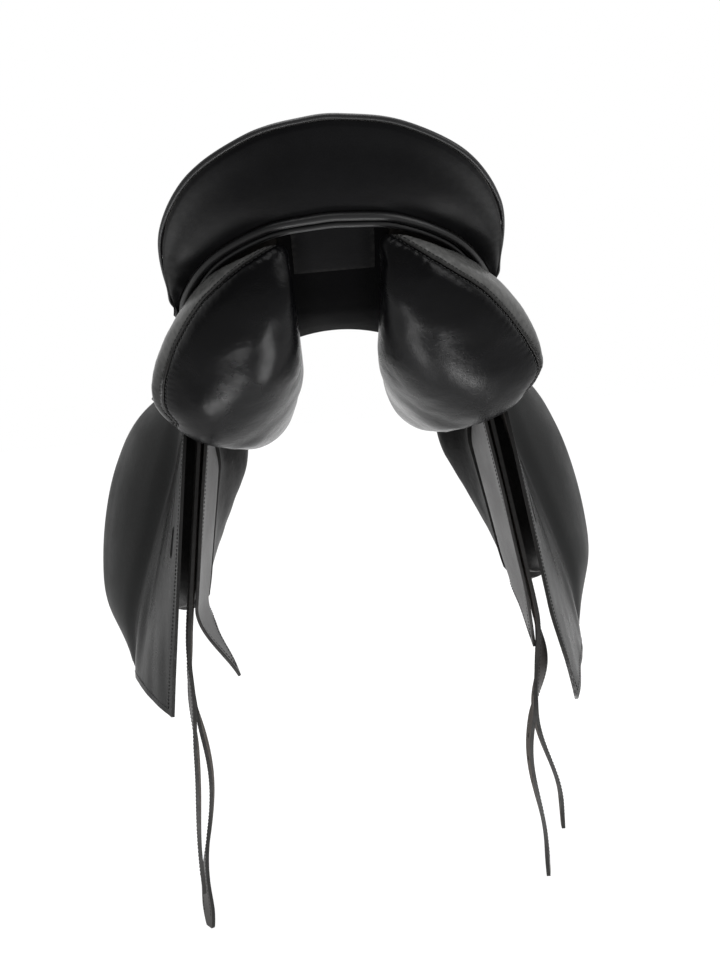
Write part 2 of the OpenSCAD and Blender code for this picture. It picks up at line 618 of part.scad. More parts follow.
// Height where the strap's own lean and bow start
sway_z = -296;
function billet_off(i, z) = i == 0 ? 7.5 : lerp(13, 7.5, ramp(0, 45, z));
function soft_z(z) = z > leave_z ? z : leave_z - leave_soft * (1 - exp((z - leave_z) / leave_soft));
function billet_x(i, z, b = [600, 0, 0, 0]) =
  let (t = min(1, max(0, (sway_z - z) / (b[0] + sway_z))))
  let (k = min(1, t / 0.86))
  hang(soft_z(z)) - billet_off(i, z) + b[1] * ramp(0, 1, k) + b[2] * (1 - cos(360 * k)) / 2;
function billet_twist(z, b) = b[3] * (ramp(-262, -320, z) - ramp(-320, -378, z));
module billet(side, i) {
  b = billets[side < 0 ? 0 : 1][i];
  y = web_y(i);
  line = concat(steps(billet_top, -20, 7), steps(-60, -b[0] + 24, 20), [for (k = [14, 6, 0]) k - b[0]]);
  wide = function (z) billet_w * min(1, 0.42 + 0.58 * sqrt(max(0, (z + b[0]) / 24)));
  ring = function (z)
    let (c = [billet_x(i, z, b), y, z], t = unit([billet_x(i, z - 1, b) - billet_x(i, z + 1, b), 0, -2]))
    let (w = billet_twist(z, b), n = [-t.z, 0, t.x], s = [0, 1, 0])
    let (across = cos(w) * s + sin(w) * n, thick = cos(w) * n - sin(w) * s)
    [for (k = [[-1, -1], [-1, 1], [1, 1], [1, -1]])
      c + across * k[0] * wide(z) / 2 + thick * k[1] * billet_t / 2];
  color("sienna") on_side(side) difference() {
    loft([for (z = line) ring(z)]);
    for (k = [0:hole_n - 1])
      let (z = 30 + k * hole_pitch - b[0])
        translate([billet_x(i, z, b) - 20, y, z]) rotate([0, 90, 0]) cylinder(h = 40, d = hole_d, $fn = 24);
  }
}

// Stirrup bars

bar_x = 120;
bar_front = 116;
bar_z = 25;
// The plate on the tree's rail, and the arm from it to the front of the blade
plate_t = 4;
plate_z = 38.4;
plate_h = 7;
arm_w = 9;
catch_t = 4;
catch_l = 24;
catch_h = 11;
pin_y = bar_front - bar_l + 5;
// Distance of the rail's outer face from the centre line
function rail_face(y, z) =
  let (s = near_station(y), b = base_pt(s, rail_out), d = unit(seat_pt(s, rail_out) - b))
  b.x + d.x * min(board_t, (z - b.z) / d.z);
module stirrup_bar(side) {
  out = bar_x + bar_t / 2;
  low = bar_z - bar_h / 2;
  seat = [for (y = steps(bar_front - bar_l, bar_front, 6)) [rail_face(y, plate_z + plate_h) + lay, y]];
  front_x = seat[6].x + plate_t / 2;
  color("silver") on_side(side) difference() {
    union() {
      translate([0, 0, plate_z]) linear_extrude(plate_h)
        polygon(concat(seat, [for (i = [6:-1:0]) seat[i] + [plate_t, 0]]));
      translate([front_x, bar_front - arm_w, plate_z]) cube([out - front_x, arm_w, plate_h]);
      translate([out - bar_t, bar_front - arm_w, low]) cube([bar_t, arm_w, plate_z - low + 1]);
      translate([out - bar_t, bar_front - bar_l, low]) cube([bar_t, bar_l, bar_h]);
    }
    translate([bar_x - bar_t, pin_y, bar_z]) rotate([0, 90, 0])
      cylinder(h = 2 * bar_t, d = pin_d + 2 * run, $fn = 32);
  }
}
catch_x = bar_x + bar_t / 2 + lay;
module bar_catch(side) {
  color("gray") on_side(side) difference() {
    union() {
      translate([catch_x, pin_y - catch_l, bar_z - catch_h / 2]) cube([catch_t, catch_l, catch_h]);
      translate([catch_x, pin_y, bar_z]) rotate([0, 90, 0]) cylinder(h = catch_t, d = catch_h, $fn = 40);
    }
    translate([catch_x - 1, pin_y, bar_z]) rotate([0, 90, 0])
      cylinder(h = catch_t + 2, d = pin_d + 2 * run, $fn = 32);
  }
}
module catch_pins() {
  for (side = [-1, 1])
    color("silver") on_side(side) translate([bar_x - bar_t / 2, pin_y, bar_z]) rotate([0, 90, 0]) {
      cylinder(h = bar_t + catch_t + 2 * lay, d = pin_d, $fn = 32);
      translate([0, 0, bar_t + catch_t + 2 * lay]) cylinder(h = 1.6, d = pin_d + 3, $fn = 32);
    }
}

// Front dees

dee_r = dee_wire_d / 2;
dee_q = 1.72;
dee_h = 0.62;
dee_drop = 24;
chape_t = 3;
chape_rise = 13;
dee_out = seat_leather + 3 * lay + chape_t + dee_r + run;
dee_at = wall_pt(1, dee_q, dee_h, dee_out);
dee_face = wall_out(1, dee_q, dee_h);
dee_yaw = atan2(dee_face.y, dee_face.x);
dee_lean = -asin(dee_face.z);
module dee_place(side) {
  on_side(side) translate(dee_at) rotate([0, 0, dee_yaw]) children();
}
module dee_chape(side) {
  l = dee_in_w - 6;
  color("black") dee_place(side) difference() {
    union() {
      rotate([90, 0, 0]) cylinder(h = l, r = dee_r + chape_t, center = true, $fn = 40);
      rotate([0, dee_lean, 0]) translate([lay - dee_r - chape_t, 0.5 - l / 2, 0])
        cube([chape_t + 1, l - 1, chape_rise]);
    }
    rotate([90, 0, 0]) cylinder(h = l + 2, r = dee_r + run, center = true, $fn = 40);
  }
}
// A straight bar with a round bow below it
module dee_ring(side) {
  half = dee_in_w / 2 + dee_r;
  color("silver") dee_place(side) {
    rotate([90, 0, 0]) cylinder(h = 2 * half, r = dee_r, center = true, $fn = 40);
    for (k = [-1, 1]) translate([0, k * half, 0]) sphere(r = dee_r, $fn = 40);
    for (k = [-1, 1]) translate([0, k * half, half - dee_drop])
      cylinder(h = dee_drop - half, r = dee_r, $fn = 40);
    translate([0, 0, half - dee_drop]) rotate([90, 180, 90])
      rotate_extrude(angle = 180, $fn = 64) translate([half, 0]) circle(r = dee_r, $fn = 40);
  }
}
nail_q = 1.15;
module nail_turn() {
  n = wall_out(1, nail_q, 0.7);
  rotate([0, acos(n.z), atan2(n.y, n.x)]) children();
}
module saddle_nails() {
  for (side = [-1, 1])
    color("silver") on_side(side) translate(wall_pt(1, nail_q, 0.7, seat_leather + 3 * lay)) nail_turn()
      cylinder(h = 3, d1 = nail_d, d2 = nail_d - 4, $fn = 40);
}

cantle_board();
tree_rail(-1);  // tree_rail_left
tree_rail(1);  // tree_rail_right
tree_head();
gullet_plate();
spring(-1);  // spring_left
spring(1);  // spring_right
tree_rivets();
long_web();
girth_web(0);  // girth_web_front
girth_web(1);  // girth_web_rear
seat_foam();
seat_cover();
cantle_facing();
cantle_piping();
band_welt(0);  // band_welt_upper
band_welt(1);  // band_welt_lower
gullet_lining();
pommel_facing();
seat_yoke(-1);  // seat_yoke_left
seat_yoke(1);  // seat_yoke_right
panel(-1);  // panel_left
panel(1);  // panel_right
front_pad(-1);  // front_pad_left
front_pad(1);  // front_pad_right
sweat_flap(-1);  // sweat_flap_left
sweat_flap(1);  // sweat_flap_right
thigh_block(-1);  // thigh_block_left
thigh_block(1);  // thigh_block_right
flap(-1);  // flap_left
flap(1);  // flap_right
skirt(-1);  // skirt_left
skirt(1);  // skirt_right
billet(-1, 0);  // billet_front_left
billet(-1, 1);  // billet_rear_left
billet(1, 0);  // billet_front_right
billet(1, 1);  // billet_rear_right
stirrup_bar(-1);  // stirrup_bar_left
stirrup_bar(1);  // stirrup_bar_right
bar_catch(-1);  // bar_catch_left
bar_catch(1);  // bar_catch_right
catch_pins();
dee_chape(-1);  // dee_chape_left
dee_chape(1);  // dee_chape_right
dee_ring(-1);  // dee_ring_left
dee_ring(1);  // dee_ring_right
saddle_nails();
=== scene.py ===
"""Looks of a dressage saddle: leather, stuffing, stitching and metal over its fixed construction.

Shapes are worked out in millimetres and turned into metres when a mesh is made.
+Y points forward to the pommel, +X to the right-hand side and +Z up.
"""

import math

import bmesh
import bpy
import numpy as np
from mathutils import Matrix, Vector, noise
from mathutils.kdtree import KDTree


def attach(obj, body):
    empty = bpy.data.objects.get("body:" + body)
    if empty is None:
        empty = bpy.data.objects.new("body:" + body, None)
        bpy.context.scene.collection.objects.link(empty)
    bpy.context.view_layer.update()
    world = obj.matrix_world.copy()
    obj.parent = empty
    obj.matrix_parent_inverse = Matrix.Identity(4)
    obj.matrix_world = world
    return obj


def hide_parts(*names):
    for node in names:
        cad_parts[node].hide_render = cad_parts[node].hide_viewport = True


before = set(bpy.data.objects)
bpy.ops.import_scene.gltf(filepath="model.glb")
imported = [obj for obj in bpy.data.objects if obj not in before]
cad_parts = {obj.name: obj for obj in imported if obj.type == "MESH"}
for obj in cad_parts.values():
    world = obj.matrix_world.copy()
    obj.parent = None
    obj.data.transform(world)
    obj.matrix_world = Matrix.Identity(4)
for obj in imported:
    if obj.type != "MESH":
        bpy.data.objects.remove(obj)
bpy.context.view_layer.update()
scene = bpy.context.scene

# Sizes in millimetres
MM = 0.001
CANTLE_W = 310
CANTLE_H = 229
CANTLE_BACK = 262
RIM_DROP = 102
BAND_H = 148
RAKE = 32
EDGE_H = 52
WAIST_X = 95
POMMEL_FWD = 222
SEAT_T = 2.5
TREE_W = 284
BOARD_T = 11
WEB_T = 2
WEB_W = 32
GULLET_W = 76
PANEL_X = 182
RIGHT_WIDER = 9
PANEL_DROP = 64
CHANNEL_FLARE = 17
FRONT_PAD_T = 46
FLAP_T = 3.5
SWEAT_T = 3.5
SKIRT_T = 3.5
HANG_X = 155
FLAP_DROP = 336
RIGHT_LOWER = 24
BLOCK_RISE = 94
BLOCK_LEAN = 7
SLOT_L = 32
SLOT_W = 8
BILLET_W = 25
BILLET_T = 4
HOLE_D = 5.5
HOLE_PITCH = 25
HOLE_COUNT = 6
NAIL_D = 14
LAY = 0.4


# Curves


def lerp(a, b, t):
    return a + (b - a) * t


def ramp(a, b, v):
    t = np.clip((np.asarray(v, float) - a) / (b - a), 0, 1)
    return t * t * (3 - 2 * t)


def bump(distance, width):
    """Bell curve that is 1 at no distance."""
    return np.exp(-((distance / width) ** 2))


def unit(v):
    return v / np.linalg.norm(v, axis=-1, keepdims=True)


def column(t):
    """A number, or an array with one more axis, to multiply points with."""
    return np.asarray(t, float)[..., None]


def through(a, b, c, d, t):
    """Smooth curve from b to c, with a before and d after."""
    square = (a - 2.5 * b + 2 * c - d / 2) * t**2
    return b + (c - a) / 2 * t + square + (1.5 * (b - c) + (d - a) / 2) * t**3


def spline(rows, s):
    """Smooth curve through evenly numbered stations."""
    p = np.asarray(rows, float)
    s = np.asarray(s, float)
    n = len(p) - 1
    i = np.clip(np.floor(s).astype(int), 0, n - 1)
    t = column(s - i) if p.ndim == 2 else s - i
    return through(p[np.maximum(i - 1, 0)], p[i], p[i + 1], p[np.minimum(i + 2, n)], t)


def profile(rows, v):
    """Smooth curve through rows of key and value."""
    key, value = np.array(rows, float).T
    v = np.asarray(v, float)
    n = len(key) - 1
    before = np.maximum(np.arange(n + 1) - 1, 0)
    after = np.minimum(np.arange(n + 1) + 1, n)
    slope = (value[after] - value[before]) / (key[after] - key[before])
    i = np.clip(np.searchsorted(key, v) - 1, 0, n - 1)
    h = key[i + 1] - key[i]
    t = np.clip((v - key[i]) / h, 0, 1)
    a, b, m, k = value[i], value[i + 1], slope[i] * h, slope[i + 1] * h
    return a + m * t + (3 * (b - a) - 2 * m - k) * t**2 + (2 * (a - b) + m + k) * t**3


def grid(rows, cols):
    return np.meshgrid(rows, cols, indexing="ij")


def unit_grid(rows, cols):
    """Two grids of numbers from 0 to 1."""
    return grid(np.linspace(0, 1, rows), np.linspace(0, 1, cols))


def inside(t, width):
    """0 at both ends of a range from 0 to 1, and 1 from a width inside them."""
    return ramp(0, width, np.minimum(t, 1 - t))


def circle(sides, a, b):
    """Points of unit circles, each in the plane of a pair of directions."""
    angle = np.linspace(0, 2 * np.pi, sides, endpoint=False)[:, None]
    return np.cos(angle) * a[..., None, :] + np.sin(angle) * b[..., None, :]


def lumps(points, size, seed):
    """Smooth noise from about -1 to 1, with features of that size in millimetres."""
    flat = np.asarray(points).reshape(-1, 3) / size + seed
    values = [noise.noise(Vector(p)) for p in flat]
    return np.array(values).reshape(np.shape(points)[:-1])


# Meshes


def quads(rows, cols, closed=False):
    i, j = grid(np.arange(rows - 1), np.arange(cols if closed else cols - 1))
    k = (j + 1) % cols
    corners = [i * cols + j, i * cols + k, (i + 1) * cols + k, (i + 1) * cols + j]
    return np.stack(corners, -1).reshape(-1, 4)


def new_mesh(name, points, faces):
    """Mesh from points in millimetres and a list of arrays, each with faces of one number of corners."""
    mesh = bpy.data.meshes.new(name)
    sizes = np.concatenate([np.full(len(f), np.shape(f)[1]) for f in faces]).astype(np.int32)
    corners = np.concatenate([np.ravel(f) for f in faces]).astype(np.int32)
    mesh.vertices.add(len(points))
    mesh.vertices.foreach_set("co", (np.asarray(points) * MM).astype(np.float32).ravel())
    mesh.loops.add(len(corners))
    mesh.loops.foreach_set("vertex_index", corners)
    mesh.polygons.add(len(sizes))
    mesh.polygons.foreach_set("loop_start", (np.cumsum(sizes) - sizes).astype(np.int32))
    mesh.update(calc_edges=True)
    return mesh


def piece(name, points, faces, looks, body, nodes=(), kinds=None, wear_and_sheen=None, polish_and_shade=None):
    """A smooth mesh that rides on a body, and stands for construction nodes if any are named."""
    mesh = new_mesh(name, points, faces)
    if kinds is not None:
        mesh.polygons.foreach_set("material_index", np.minimum(kinds, len(looks) - 1).astype(np.int32))
    shape = bmesh.new()
    shape.from_mesh(mesh)
    bmesh.ops.recalc_face_normals(shape, faces=shape.faces)
    shape.to_mesh(mesh)
    shape.free()
    mesh.polygons.foreach_set("use_smooth", np.ones(len(mesh.polygons), bool))
    for key, values in (("wear_and_sheen", wear_and_sheen), ("polish_and_shade", polish_and_shade)):
        if values is not None:
            layer = mesh.attributes.new(key, "FLOAT", "POINT")
            layer.data.foreach_set("value", values.astype(np.float32))
    for look in looks:
        mesh.materials.append(look)
    obj = bpy.data.objects.new(name, mesh)
    scene.collection.objects.link(obj)
    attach(obj, body)
    if nodes:
        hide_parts(*nodes)
    return obj


def from_edge(points):
    """Distance of each point of a grid from the grid's border, along its rows and columns."""
    nearest = np.full(points.shape[:2], np.inf)
    for axis in (0, 1):
        step = np.linalg.norm(np.diff(points, axis=axis), axis=-1)
        pad = [(1, 0), (0, 0)] if axis == 0 else [(0, 0), (1, 0)]
        run = np.pad(np.cumsum(step, axis=axis), pad)
        total = np.take(run, [-1], axis=axis)
        nearest = np.minimum(nearest, np.minimum(run, total - run))
    return nearest


def soften_edges(obj, width):
    """Rounds the cut edges of a leather piece."""
    bevel = obj.modifiers.new("edges", "BEVEL")
    bevel.width = width * MM
    bevel.segments = 3
    bevel.limit_method = "ANGLE"
    bevel.angle_limit = math.radians(38)
    obj.modifiers.new("shading", "WEIGHTED_NORMAL")


EDGE_WEAR = 3.5


def slab(name, face, back, looks, body, slot, nodes=(), edge=1.0, cutter=None, polish_and_shade=None, wear_and_sheen=None):
    """Solid between two grids of points. The looks are those of its face, back and cut edge."""
    rows, cols = face.shape[:2]
    count = rows * cols
    over = quads(rows, cols)
    end = (rows - 1) * cols
    loop = np.concatenate([
        np.arange(cols),
        np.arange(2, rows + 1) * cols - 1,
        end + np.arange(cols - 2, -1, -1),
        np.arange(rows - 2, 0, -1) * cols,
    ])
    after = np.roll(loop, -1)
    rim = np.stack([loop, loop + count, after + count, after], -1)
    faces = [over, over[:, ::-1] + count, rim]
    kinds = np.repeat([0, 1, 2], [len(over), len(over), len(rim)])
    points = np.concatenate([face.reshape(-1, 3), back.reshape(-1, 3)])
    worn_and_sheen = bump(from_edge(face), EDGE_WEAR) if wear_and_sheen is None else wear_and_sheen
    worn_and_sheen = np.tile(worn_and_sheen.reshape(-1), 2)
    shine_and_shade = None if polish_and_shade is None else np.tile(polish_and_shade.reshape(-1), 2)
    obj = piece(name, points, faces, looks, body, nodes, kinds, worn_and_sheen, shine_and_shade)
    if cutter is not None:
        cut(obj, *cutter)
    if edge > 0:
        soften_edges(obj, edge)
    return obj


def apply_modifiers(obj):
    """Keeps what the modifiers of an object make of its mesh, and takes them off."""
    done = obj.evaluated_get(bpy.context.evaluated_depsgraph_get())
    obj.data = bpy.data.meshes.new_from_object(done)
    obj.modifiers.clear()


def triples(rows, key):
    flat = np.empty(3 * len(rows), np.float32)
    rows.foreach_get(key, flat)
    return flat.reshape(-1, 3).astype(float)


def mesh_points(mesh):
    return triples(mesh.vertices, "co") / MM


def mesh_normals(mesh):
    return triples(mesh.vertex_normals, "vector")


def set_points(mesh, points):
    mesh.vertices.foreach_set("co", (points * MM).astype(np.float32).ravel())
    mesh.update()


def cut(obj, points, faces):
    """Takes a closed shape out of a piece."""
    mesh = new_mesh("cutter", points, faces)
    tool = bpy.data.objects.new("cutter", mesh)
    scene.collection.objects.link(tool)
    step = obj.modifiers.new("cut", "BOOLEAN")
    step.object = tool
    step.operation = "DIFFERENCE"
    step.solver = "EXACT"
    apply_modifiers(obj)
    bpy.data.objects.remove(tool)
    bpy.data.meshes.remove(mesh)


def prism(outline, start, end):
    """Closed shape between two copies of an outline, with its points and faces."""
    n = len(outline)
    points = np.concatenate([outline + start, outline + end])
    k = np.arange(n)
    sides = np.stack([k, np.roll(k, -1), np.roll(k, -1) + n, k + n], -1)
    return points, [np.stack([k[::-1], k + n]), sides]


def end_caps(rows, cols):
    """Faces that close the first and the last ring of a tube of quads."""
    k = np.arange(cols)
    return np.stack([k[::-1], (rows - 1) * cols + k])


def tube_shape(line, radius, sides=20):
    """Points and faces of a round cord with domed ends.

    The radius is one number, or one for each point of the line.
    """
    radius = np.broadcast_to(radius, len(line))
    tangent = unit(np.gradient(line, axis=0))
    side = unit(np.cross(tangent, [0, 0.3, 1.0]))
    up = np.cross(side, tangent)
    dome = np.radians([84, 60, 35, 15])
    spots = [line[0] - tangent[0] * radius[0] * math.sin(a) for a in dome]
    sizes = [radius[0] * math.cos(a) for a in dome]
    spots += list(line)
    sizes += list(radius)
    spots += [line[-1] + tangent[-1] * radius[-1] * math.sin(a) for a in dome[::-1]]
    sizes += [radius[-1] * math.cos(a) for a in dome[::-1]]
    pad = ((len(dome), len(dome)), (0, 0))
    side = np.pad(side, pad, mode="edge")
    up = np.pad(up, pad, mode="edge")
    points = np.array(spots)[:, None] + np.array(sizes)[:, None, None] * circle(sides, side, up)
    rows = len(points)
    return points, [quads(rows, sides, True), end_caps(rows, sides)]


def tube(name, line, radius, looks, body, nodes=(), swell=0.0, seed=0.0):
    points, faces = tube_shape(line, radius)
    if swell > 0:
        middle = points.mean(axis=1, keepdims=True)
        points = points + unit(points - middle + 1e-9) * column(swell * lumps(points, 16, seed))
    return piece(name, points.reshape(-1, 3), faces, looks, body, nodes)


THREAD_SIDES = 6


def stitches(name, lines, body, pitch=4.2, length=3.3, thick=0.85):
    """Rows of thread. Each line is a pair of arrays: points on the leather, and its outward normals."""
    found = []
    for points, out in lines:
        run = np.concatenate([[0], np.cumsum(np.linalg.norm(np.diff(points, axis=0), axis=1))])
        at = np.arange(pitch / 2, run[-1], pitch)
        values = np.concatenate([points, np.gradient(points, axis=0), out], axis=1)
        found.append(np.stack([np.interp(at, run, value) for value in values.T], -1))
    spot, way, out = np.split(np.concatenate(found), 3, axis=1)
    way = unit(way)
    side = unit(np.cross(way, out))
    out = np.cross(side, way)
    along = np.array([-0.5, -0.42, -0.22, 0.22, 0.42, 0.5]) * length
    girth = np.array([0.3, 0.75, 1.0, 1.0, 0.75, 0.3]) * thick / 2
    lift = np.array([-0.45, -0.1, 0.2, 0.2, -0.1, -0.45]) * thick
    axis = spot[:, None] + along[:, None] * way[:, None] + lift[:, None] * out[:, None]
    ring = circle(THREAD_SIDES, side, out)
    points = axis[:, :, None] + girth[:, None, None] * ring[:, None]
    size = (len(along), THREAD_SIDES)
    start = size[0] * size[1] * np.arange(len(spot))[:, None, None]
    faces = [
        (quads(*size, True) + start).reshape(-1, 4),
        (end_caps(*size) + start).reshape(-1, THREAD_SIDES),
    ]
    return piece(name, points.reshape(-1, 3), faces, [THREAD], body)


# Looks


class Nodes:
    """Small helper to build a material's nodes."""

    def __init__(self, name):
        self.material = bpy.data.materials.new(name)
        self.material.use_nodes = True
        self.tree = self.material.node_tree
        self.shader = self.tree.nodes["Principled BSDF"]
        self.place = self.add("ShaderNodeTexCoord").outputs["Object"]

    def add(self, kind, inputs=None, **settings):
        node = self.tree.nodes.new(kind)
        for key, value in settings.items():
            setattr(node, key, value)
        for key, value in (inputs or {}).items():
            self.put(node.inputs[key], value)
        return node

    def put(self, socket, value):
        if isinstance(value, bpy.types.NodeSocket):
            self.tree.links.new(value, socket)
        else:
            socket.default_value = value

    def finish(self, values):
        """The material, with these values in its shader."""
        for key, value in values.items():
            self.put(self.shader.inputs[key], value)
        return self.material

    def noise(self, scale, detail=4.0, rough=0.55, place=None):
        inputs = {"Vector": place or self.place, "Scale": scale, "Detail": detail, "Roughness": rough}
        return self.add("ShaderNodeTexNoise", inputs).outputs["Fac"]

    def stretched(self, scale):
        inputs = {0: self.place, 1: scale}
        return self.add("ShaderNodeVectorMath", inputs, operation="MULTIPLY").outputs[0]

    def between(self, fac, low, high, start=0.3, end=0.7):
        inputs = {0: fac, 1: start, 2: end, 3: low, 4: high}
        return self.add("ShaderNodeMapRange", inputs, interpolation_type="SMOOTHSTEP").outputs[0]

    def times(self, a, b):
        return self.add("ShaderNodeMath", {0: a, 1: b}, operation="MULTIPLY").outputs[0]

    def mix(self, fac, a, b):
        node = self.add("ShaderNodeMix", data_type="RGBA")
        self.put(node.inputs["Factor"], fac)
        self.put(node.inputs[6], a)
        self.put(node.inputs[7], b)
        return node.outputs[2]

    def bump(self, height, strength, depth, under=None):
        inputs = {"Height": height, "Strength": strength, "Distance": depth}
        if under is not None:
            inputs["Normal"] = under
        return self.add("ShaderNodeBump", inputs).outputs[0]


def shade(tone, amount):
    return tuple(min(1.0, c * amount) for c in tone) + (1.0,)


WORN = (0.02, 0.019, 0.018)


def leather(name, tone, rough, grain=0.35, crease=0.25, worn_and_sheen=WORN, patchy=(0.05, 0.6), spec=0.32):
    """Leather with pebbled grain, soft undulations and uneven gloss. Its wear mask lightens it towards a
    worn tone: real edge wear on most pieces, and painted sheen on the panels' seam bands and the cantle
    facing's sides. Its polish mask makes it glossier and paints it darker, as painted shade.
    """
    n = Nodes(name)
    wide = n.noise(14.0, 5.0)
    fine = n.noise(170.0, 4.0)
    cells = n.add("ShaderNodeTexVoronoi", {"Vector": n.place, "Scale": 1150.0, "Randomness": 0.9})
    cells.feature = "SMOOTH_F1"
    cells.inputs["Smoothness"].default_value = 0.6
    color = n.mix(n.between(wide, 0.0, 1.0), shade(tone, 0.78), shade(tone, 1.3))
    color = n.mix(n.between(fine, 0.0, 0.35, 0.45, 0.75), color, shade(tone, 1.5))
    edge = n.add("ShaderNodeAttribute", attribute_name="wear_and_sheen").outputs["Fac"]
    # Lighter towards the worn tone by the wear mask: real edge wear, and painted sheen on the panels and
    # the cantle facing
    color = n.mix(n.times(edge, n.between(fine, *patchy)), color, tuple(worn_and_sheen) + (1.0,))
    polish_and_shade = n.add("ShaderNodeAttribute", attribute_name="polish_and_shade").outputs["Fac"]
    gloss = n.between(polish_and_shade, 1.0, 0.55, 0.0, 1.0)
    soft = n.bump(n.noise(75.0, 3.0), crease, 0.0011)
    return n.finish({
        # Darker where the polish mask is high: painted shade
        "Base Color": n.mix(n.between(polish_and_shade, 0.0, 0.75), color, shade(tone, 0.3)),
        "Roughness": n.times(n.between(wide, rough - 0.06, rough + 0.08), gloss),
        "Specular IOR Level": spec,
        "Normal": n.bump(cells.outputs["Distance"], grain, 0.00035, soft),
    })


def flesh(name, tone):
    """Rough inner side of leather, with short fibres."""
    n = Nodes(name)
    fibre = n.noise(420.0, 6.0, 0.7)
    blotch = n.noise(26.0, 4.0)
    color = n.mix(n.between(blotch, 0.0, 1.0), shade(tone, 0.75), shade(tone, 1.25))
    color = n.mix(n.between(fibre, 0.0, 0.6), color, shade(tone, 1.6))
    return n.finish({
        "Base Color": color, "Roughness": n.between(fibre, 0.72, 0.9), "Specular IOR Level": 0.2,
        "Normal": n.bump(fibre, 0.5, 0.0005),
    })


def metal(name, tone, rough):
    """Steel with fine drawn lines and dull patches."""
    n = Nodes(name)
    lines = n.noise(1.0, 3.0, 0.6, n.stretched((260.0, 260.0, 2600.0)))
    dull = n.noise(60.0, 5.0)
    return n.finish({
        "Base Color": n.mix(n.between(dull, 0.0, 1.0), shade(tone, 0.85), shade(tone, 1.1)),
        "Metallic": 1.0,
        "Roughness": n.between(dull, rough - 0.05, rough + 0.12),
        "Normal": n.bump(lines, 0.08, 0.0002),
    })


def wood(name, light, dark, pore):
    """Beech with bands of grain."""
    n = Nodes(name)
    rings = n.add("ShaderNodeTexWave", {
        "Vector": n.stretched((60.0, 7.0, 60.0)), "Scale": 1.0, "Distortion": 7.0, "Detail": 3.0})
    pores = n.noise(1.0, 4.0, 0.6, n.stretched((900.0, 60.0, 900.0)))
    color = n.mix(rings.outputs["Fac"], shade(dark, 1), shade(light, 1))
    color = n.mix(n.between(pores, 0.0, 0.5), color, shade(pore, 1))
    bumps = n.bump(pores, 0.2, 0.0004)
    return n.finish({"Base Color": color, "Roughness": n.between(pores, 0.5, 0.68), "Normal": bumps})


def woven(name, tone, pitch):
    """Webbing with crossing yarns."""
    n = Nodes(name)
    inputs = {"Vector": n.place, "Scale": pitch, "Distortion": 0.3}
    warp, weft = (n.add("ShaderNodeTexWave", inputs, bands_direction=way) for way in "XY")
    yarn = n.times(warp.outputs["Fac"], weft.outputs["Fac"])
    color = n.mix(yarn, shade(tone, 0.6), shade(tone, 1.1))
    color = n.mix(n.between(n.noise(30.0), 0.0, 0.4), color, shade(tone, 0.7))
    bumps = n.bump(yarn, 0.5, 0.0006)
    rough = n.between(yarn, 0.75, 0.9, 0.0, 1.0)
    return n.finish({"Base Color": color, "Roughness": rough, "Normal": bumps})


def sponge(name, tone):
    """Open foam with small pores."""
    n = Nodes(name)
    pores = n.add("ShaderNodeTexVoronoi", {"Vector": n.place, "Scale": 520.0}).outputs["Distance"]
    color = n.mix(n.between(n.noise(22.0), 0.0, 1.0), shade(tone, 0.85), shade(tone, 1.1))
    color = n.mix(n.between(pores, 0.5, 0.0, 0.1, 0.4), color, shade(tone, 0.5))
    bumps = n.bump(pores, 0.6, 0.001)
    return n.finish({"Base Color": color, "Roughness": n.between(pores, 0.85, 0.95), "Normal": bumps})


def thread(name, tone):
    """Waxed thread with a twist."""
    n = Nodes(name)
    twist = n.add("ShaderNodeTexWave", {
        "Vector": n.place, "Scale": 420.0, "Distortion": 1.5}, bands_direction="DIAGONAL").outputs["Fac"]
    color = n.mix(twist, shade(tone, 0.7), shade(tone, 1.35))
    bumps = n.bump(twist, 0.4, 0.0003)
    rough = n.between(twist, 0.45, 0.65, 0.0, 1.0)
    return n.finish({"Base Color": color, "Roughness": rough, "Normal": bumps})


SEAT_LEATHER = leather("seat_leather", (0.005, 0.005, 0.0055), 0.42, grain=0.4)
# Its light worn tone marks the facing's sides: partly wear, and partly painted sheen
BACK_LEATHER = leather("back_leather", (0.0035, 0.0035, 0.004), 0.4, grain=0.2, crease=0.2,
                       worn_and_sheen=(0.035, 0.035, 0.035), patchy=(0.6, 1.0), spec=0.09)
WELT_LEATHER = leather("welt_leather", (0.006, 0.006, 0.0065), 0.38, grain=0.18, crease=0.2, spec=0.45)
# Its light worn tone marks the band outside the panel seam: partly wear, and partly painted light
PANEL_LEATHER = leather("panel_leather", (0.0024, 0.0024, 0.0028), 0.25, grain=0.3, crease=0.4,
                        worn_and_sheen=(0.13, 0.13, 0.127), patchy=(0.7, 1.0), spec=0.14)
PAD_LEATHER = leather("pad_leather", (0.017, 0.0165, 0.0165), 0.45, grain=0.4, crease=0.7)
# Darker copy of the pad leather, used only for the right pad: painted shade
SHADED_PAD_LEATHER = leather("shaded_pad_leather", (0.005, 0.005, 0.0052), 0.45, grain=0.4, crease=0.7, spec=0.16)
FLAP_LEATHER = leather("flap_leather", (0.0095, 0.0098, 0.0098), 0.5, grain=0.45, crease=0.2, spec=0.15)
SWEAT_LEATHER = leather("sweat_leather", (0.045, 0.043, 0.043), 0.45, grain=0.4, crease=0.4, spec=0.4)
STRAP_LEATHER = leather("strap_leather", (0.018, 0.0145, 0.013), 0.5, grain=0.3, crease=0.4)
LINING_LEATHER = leather("lining_leather", (0.0018, 0.0018, 0.002), 0.75, grain=0.3, spec=0.02)
PATCH_LEATHER = leather("patch_leather", (0.0028, 0.0028, 0.0032), 0.6, grain=0.3, spec=0.05)
CUT_EDGE = leather("cut_edge", (0.008, 0.0075, 0.007), 0.5, grain=0.1, crease=0.6)
FLESH = flesh("flesh_side", (0.05, 0.041, 0.035))
DARK_FLESH = flesh("dark_flesh_side", (0.03, 0.027, 0.025))
THREAD = thread("thread", (0.004, 0.004, 0.004))
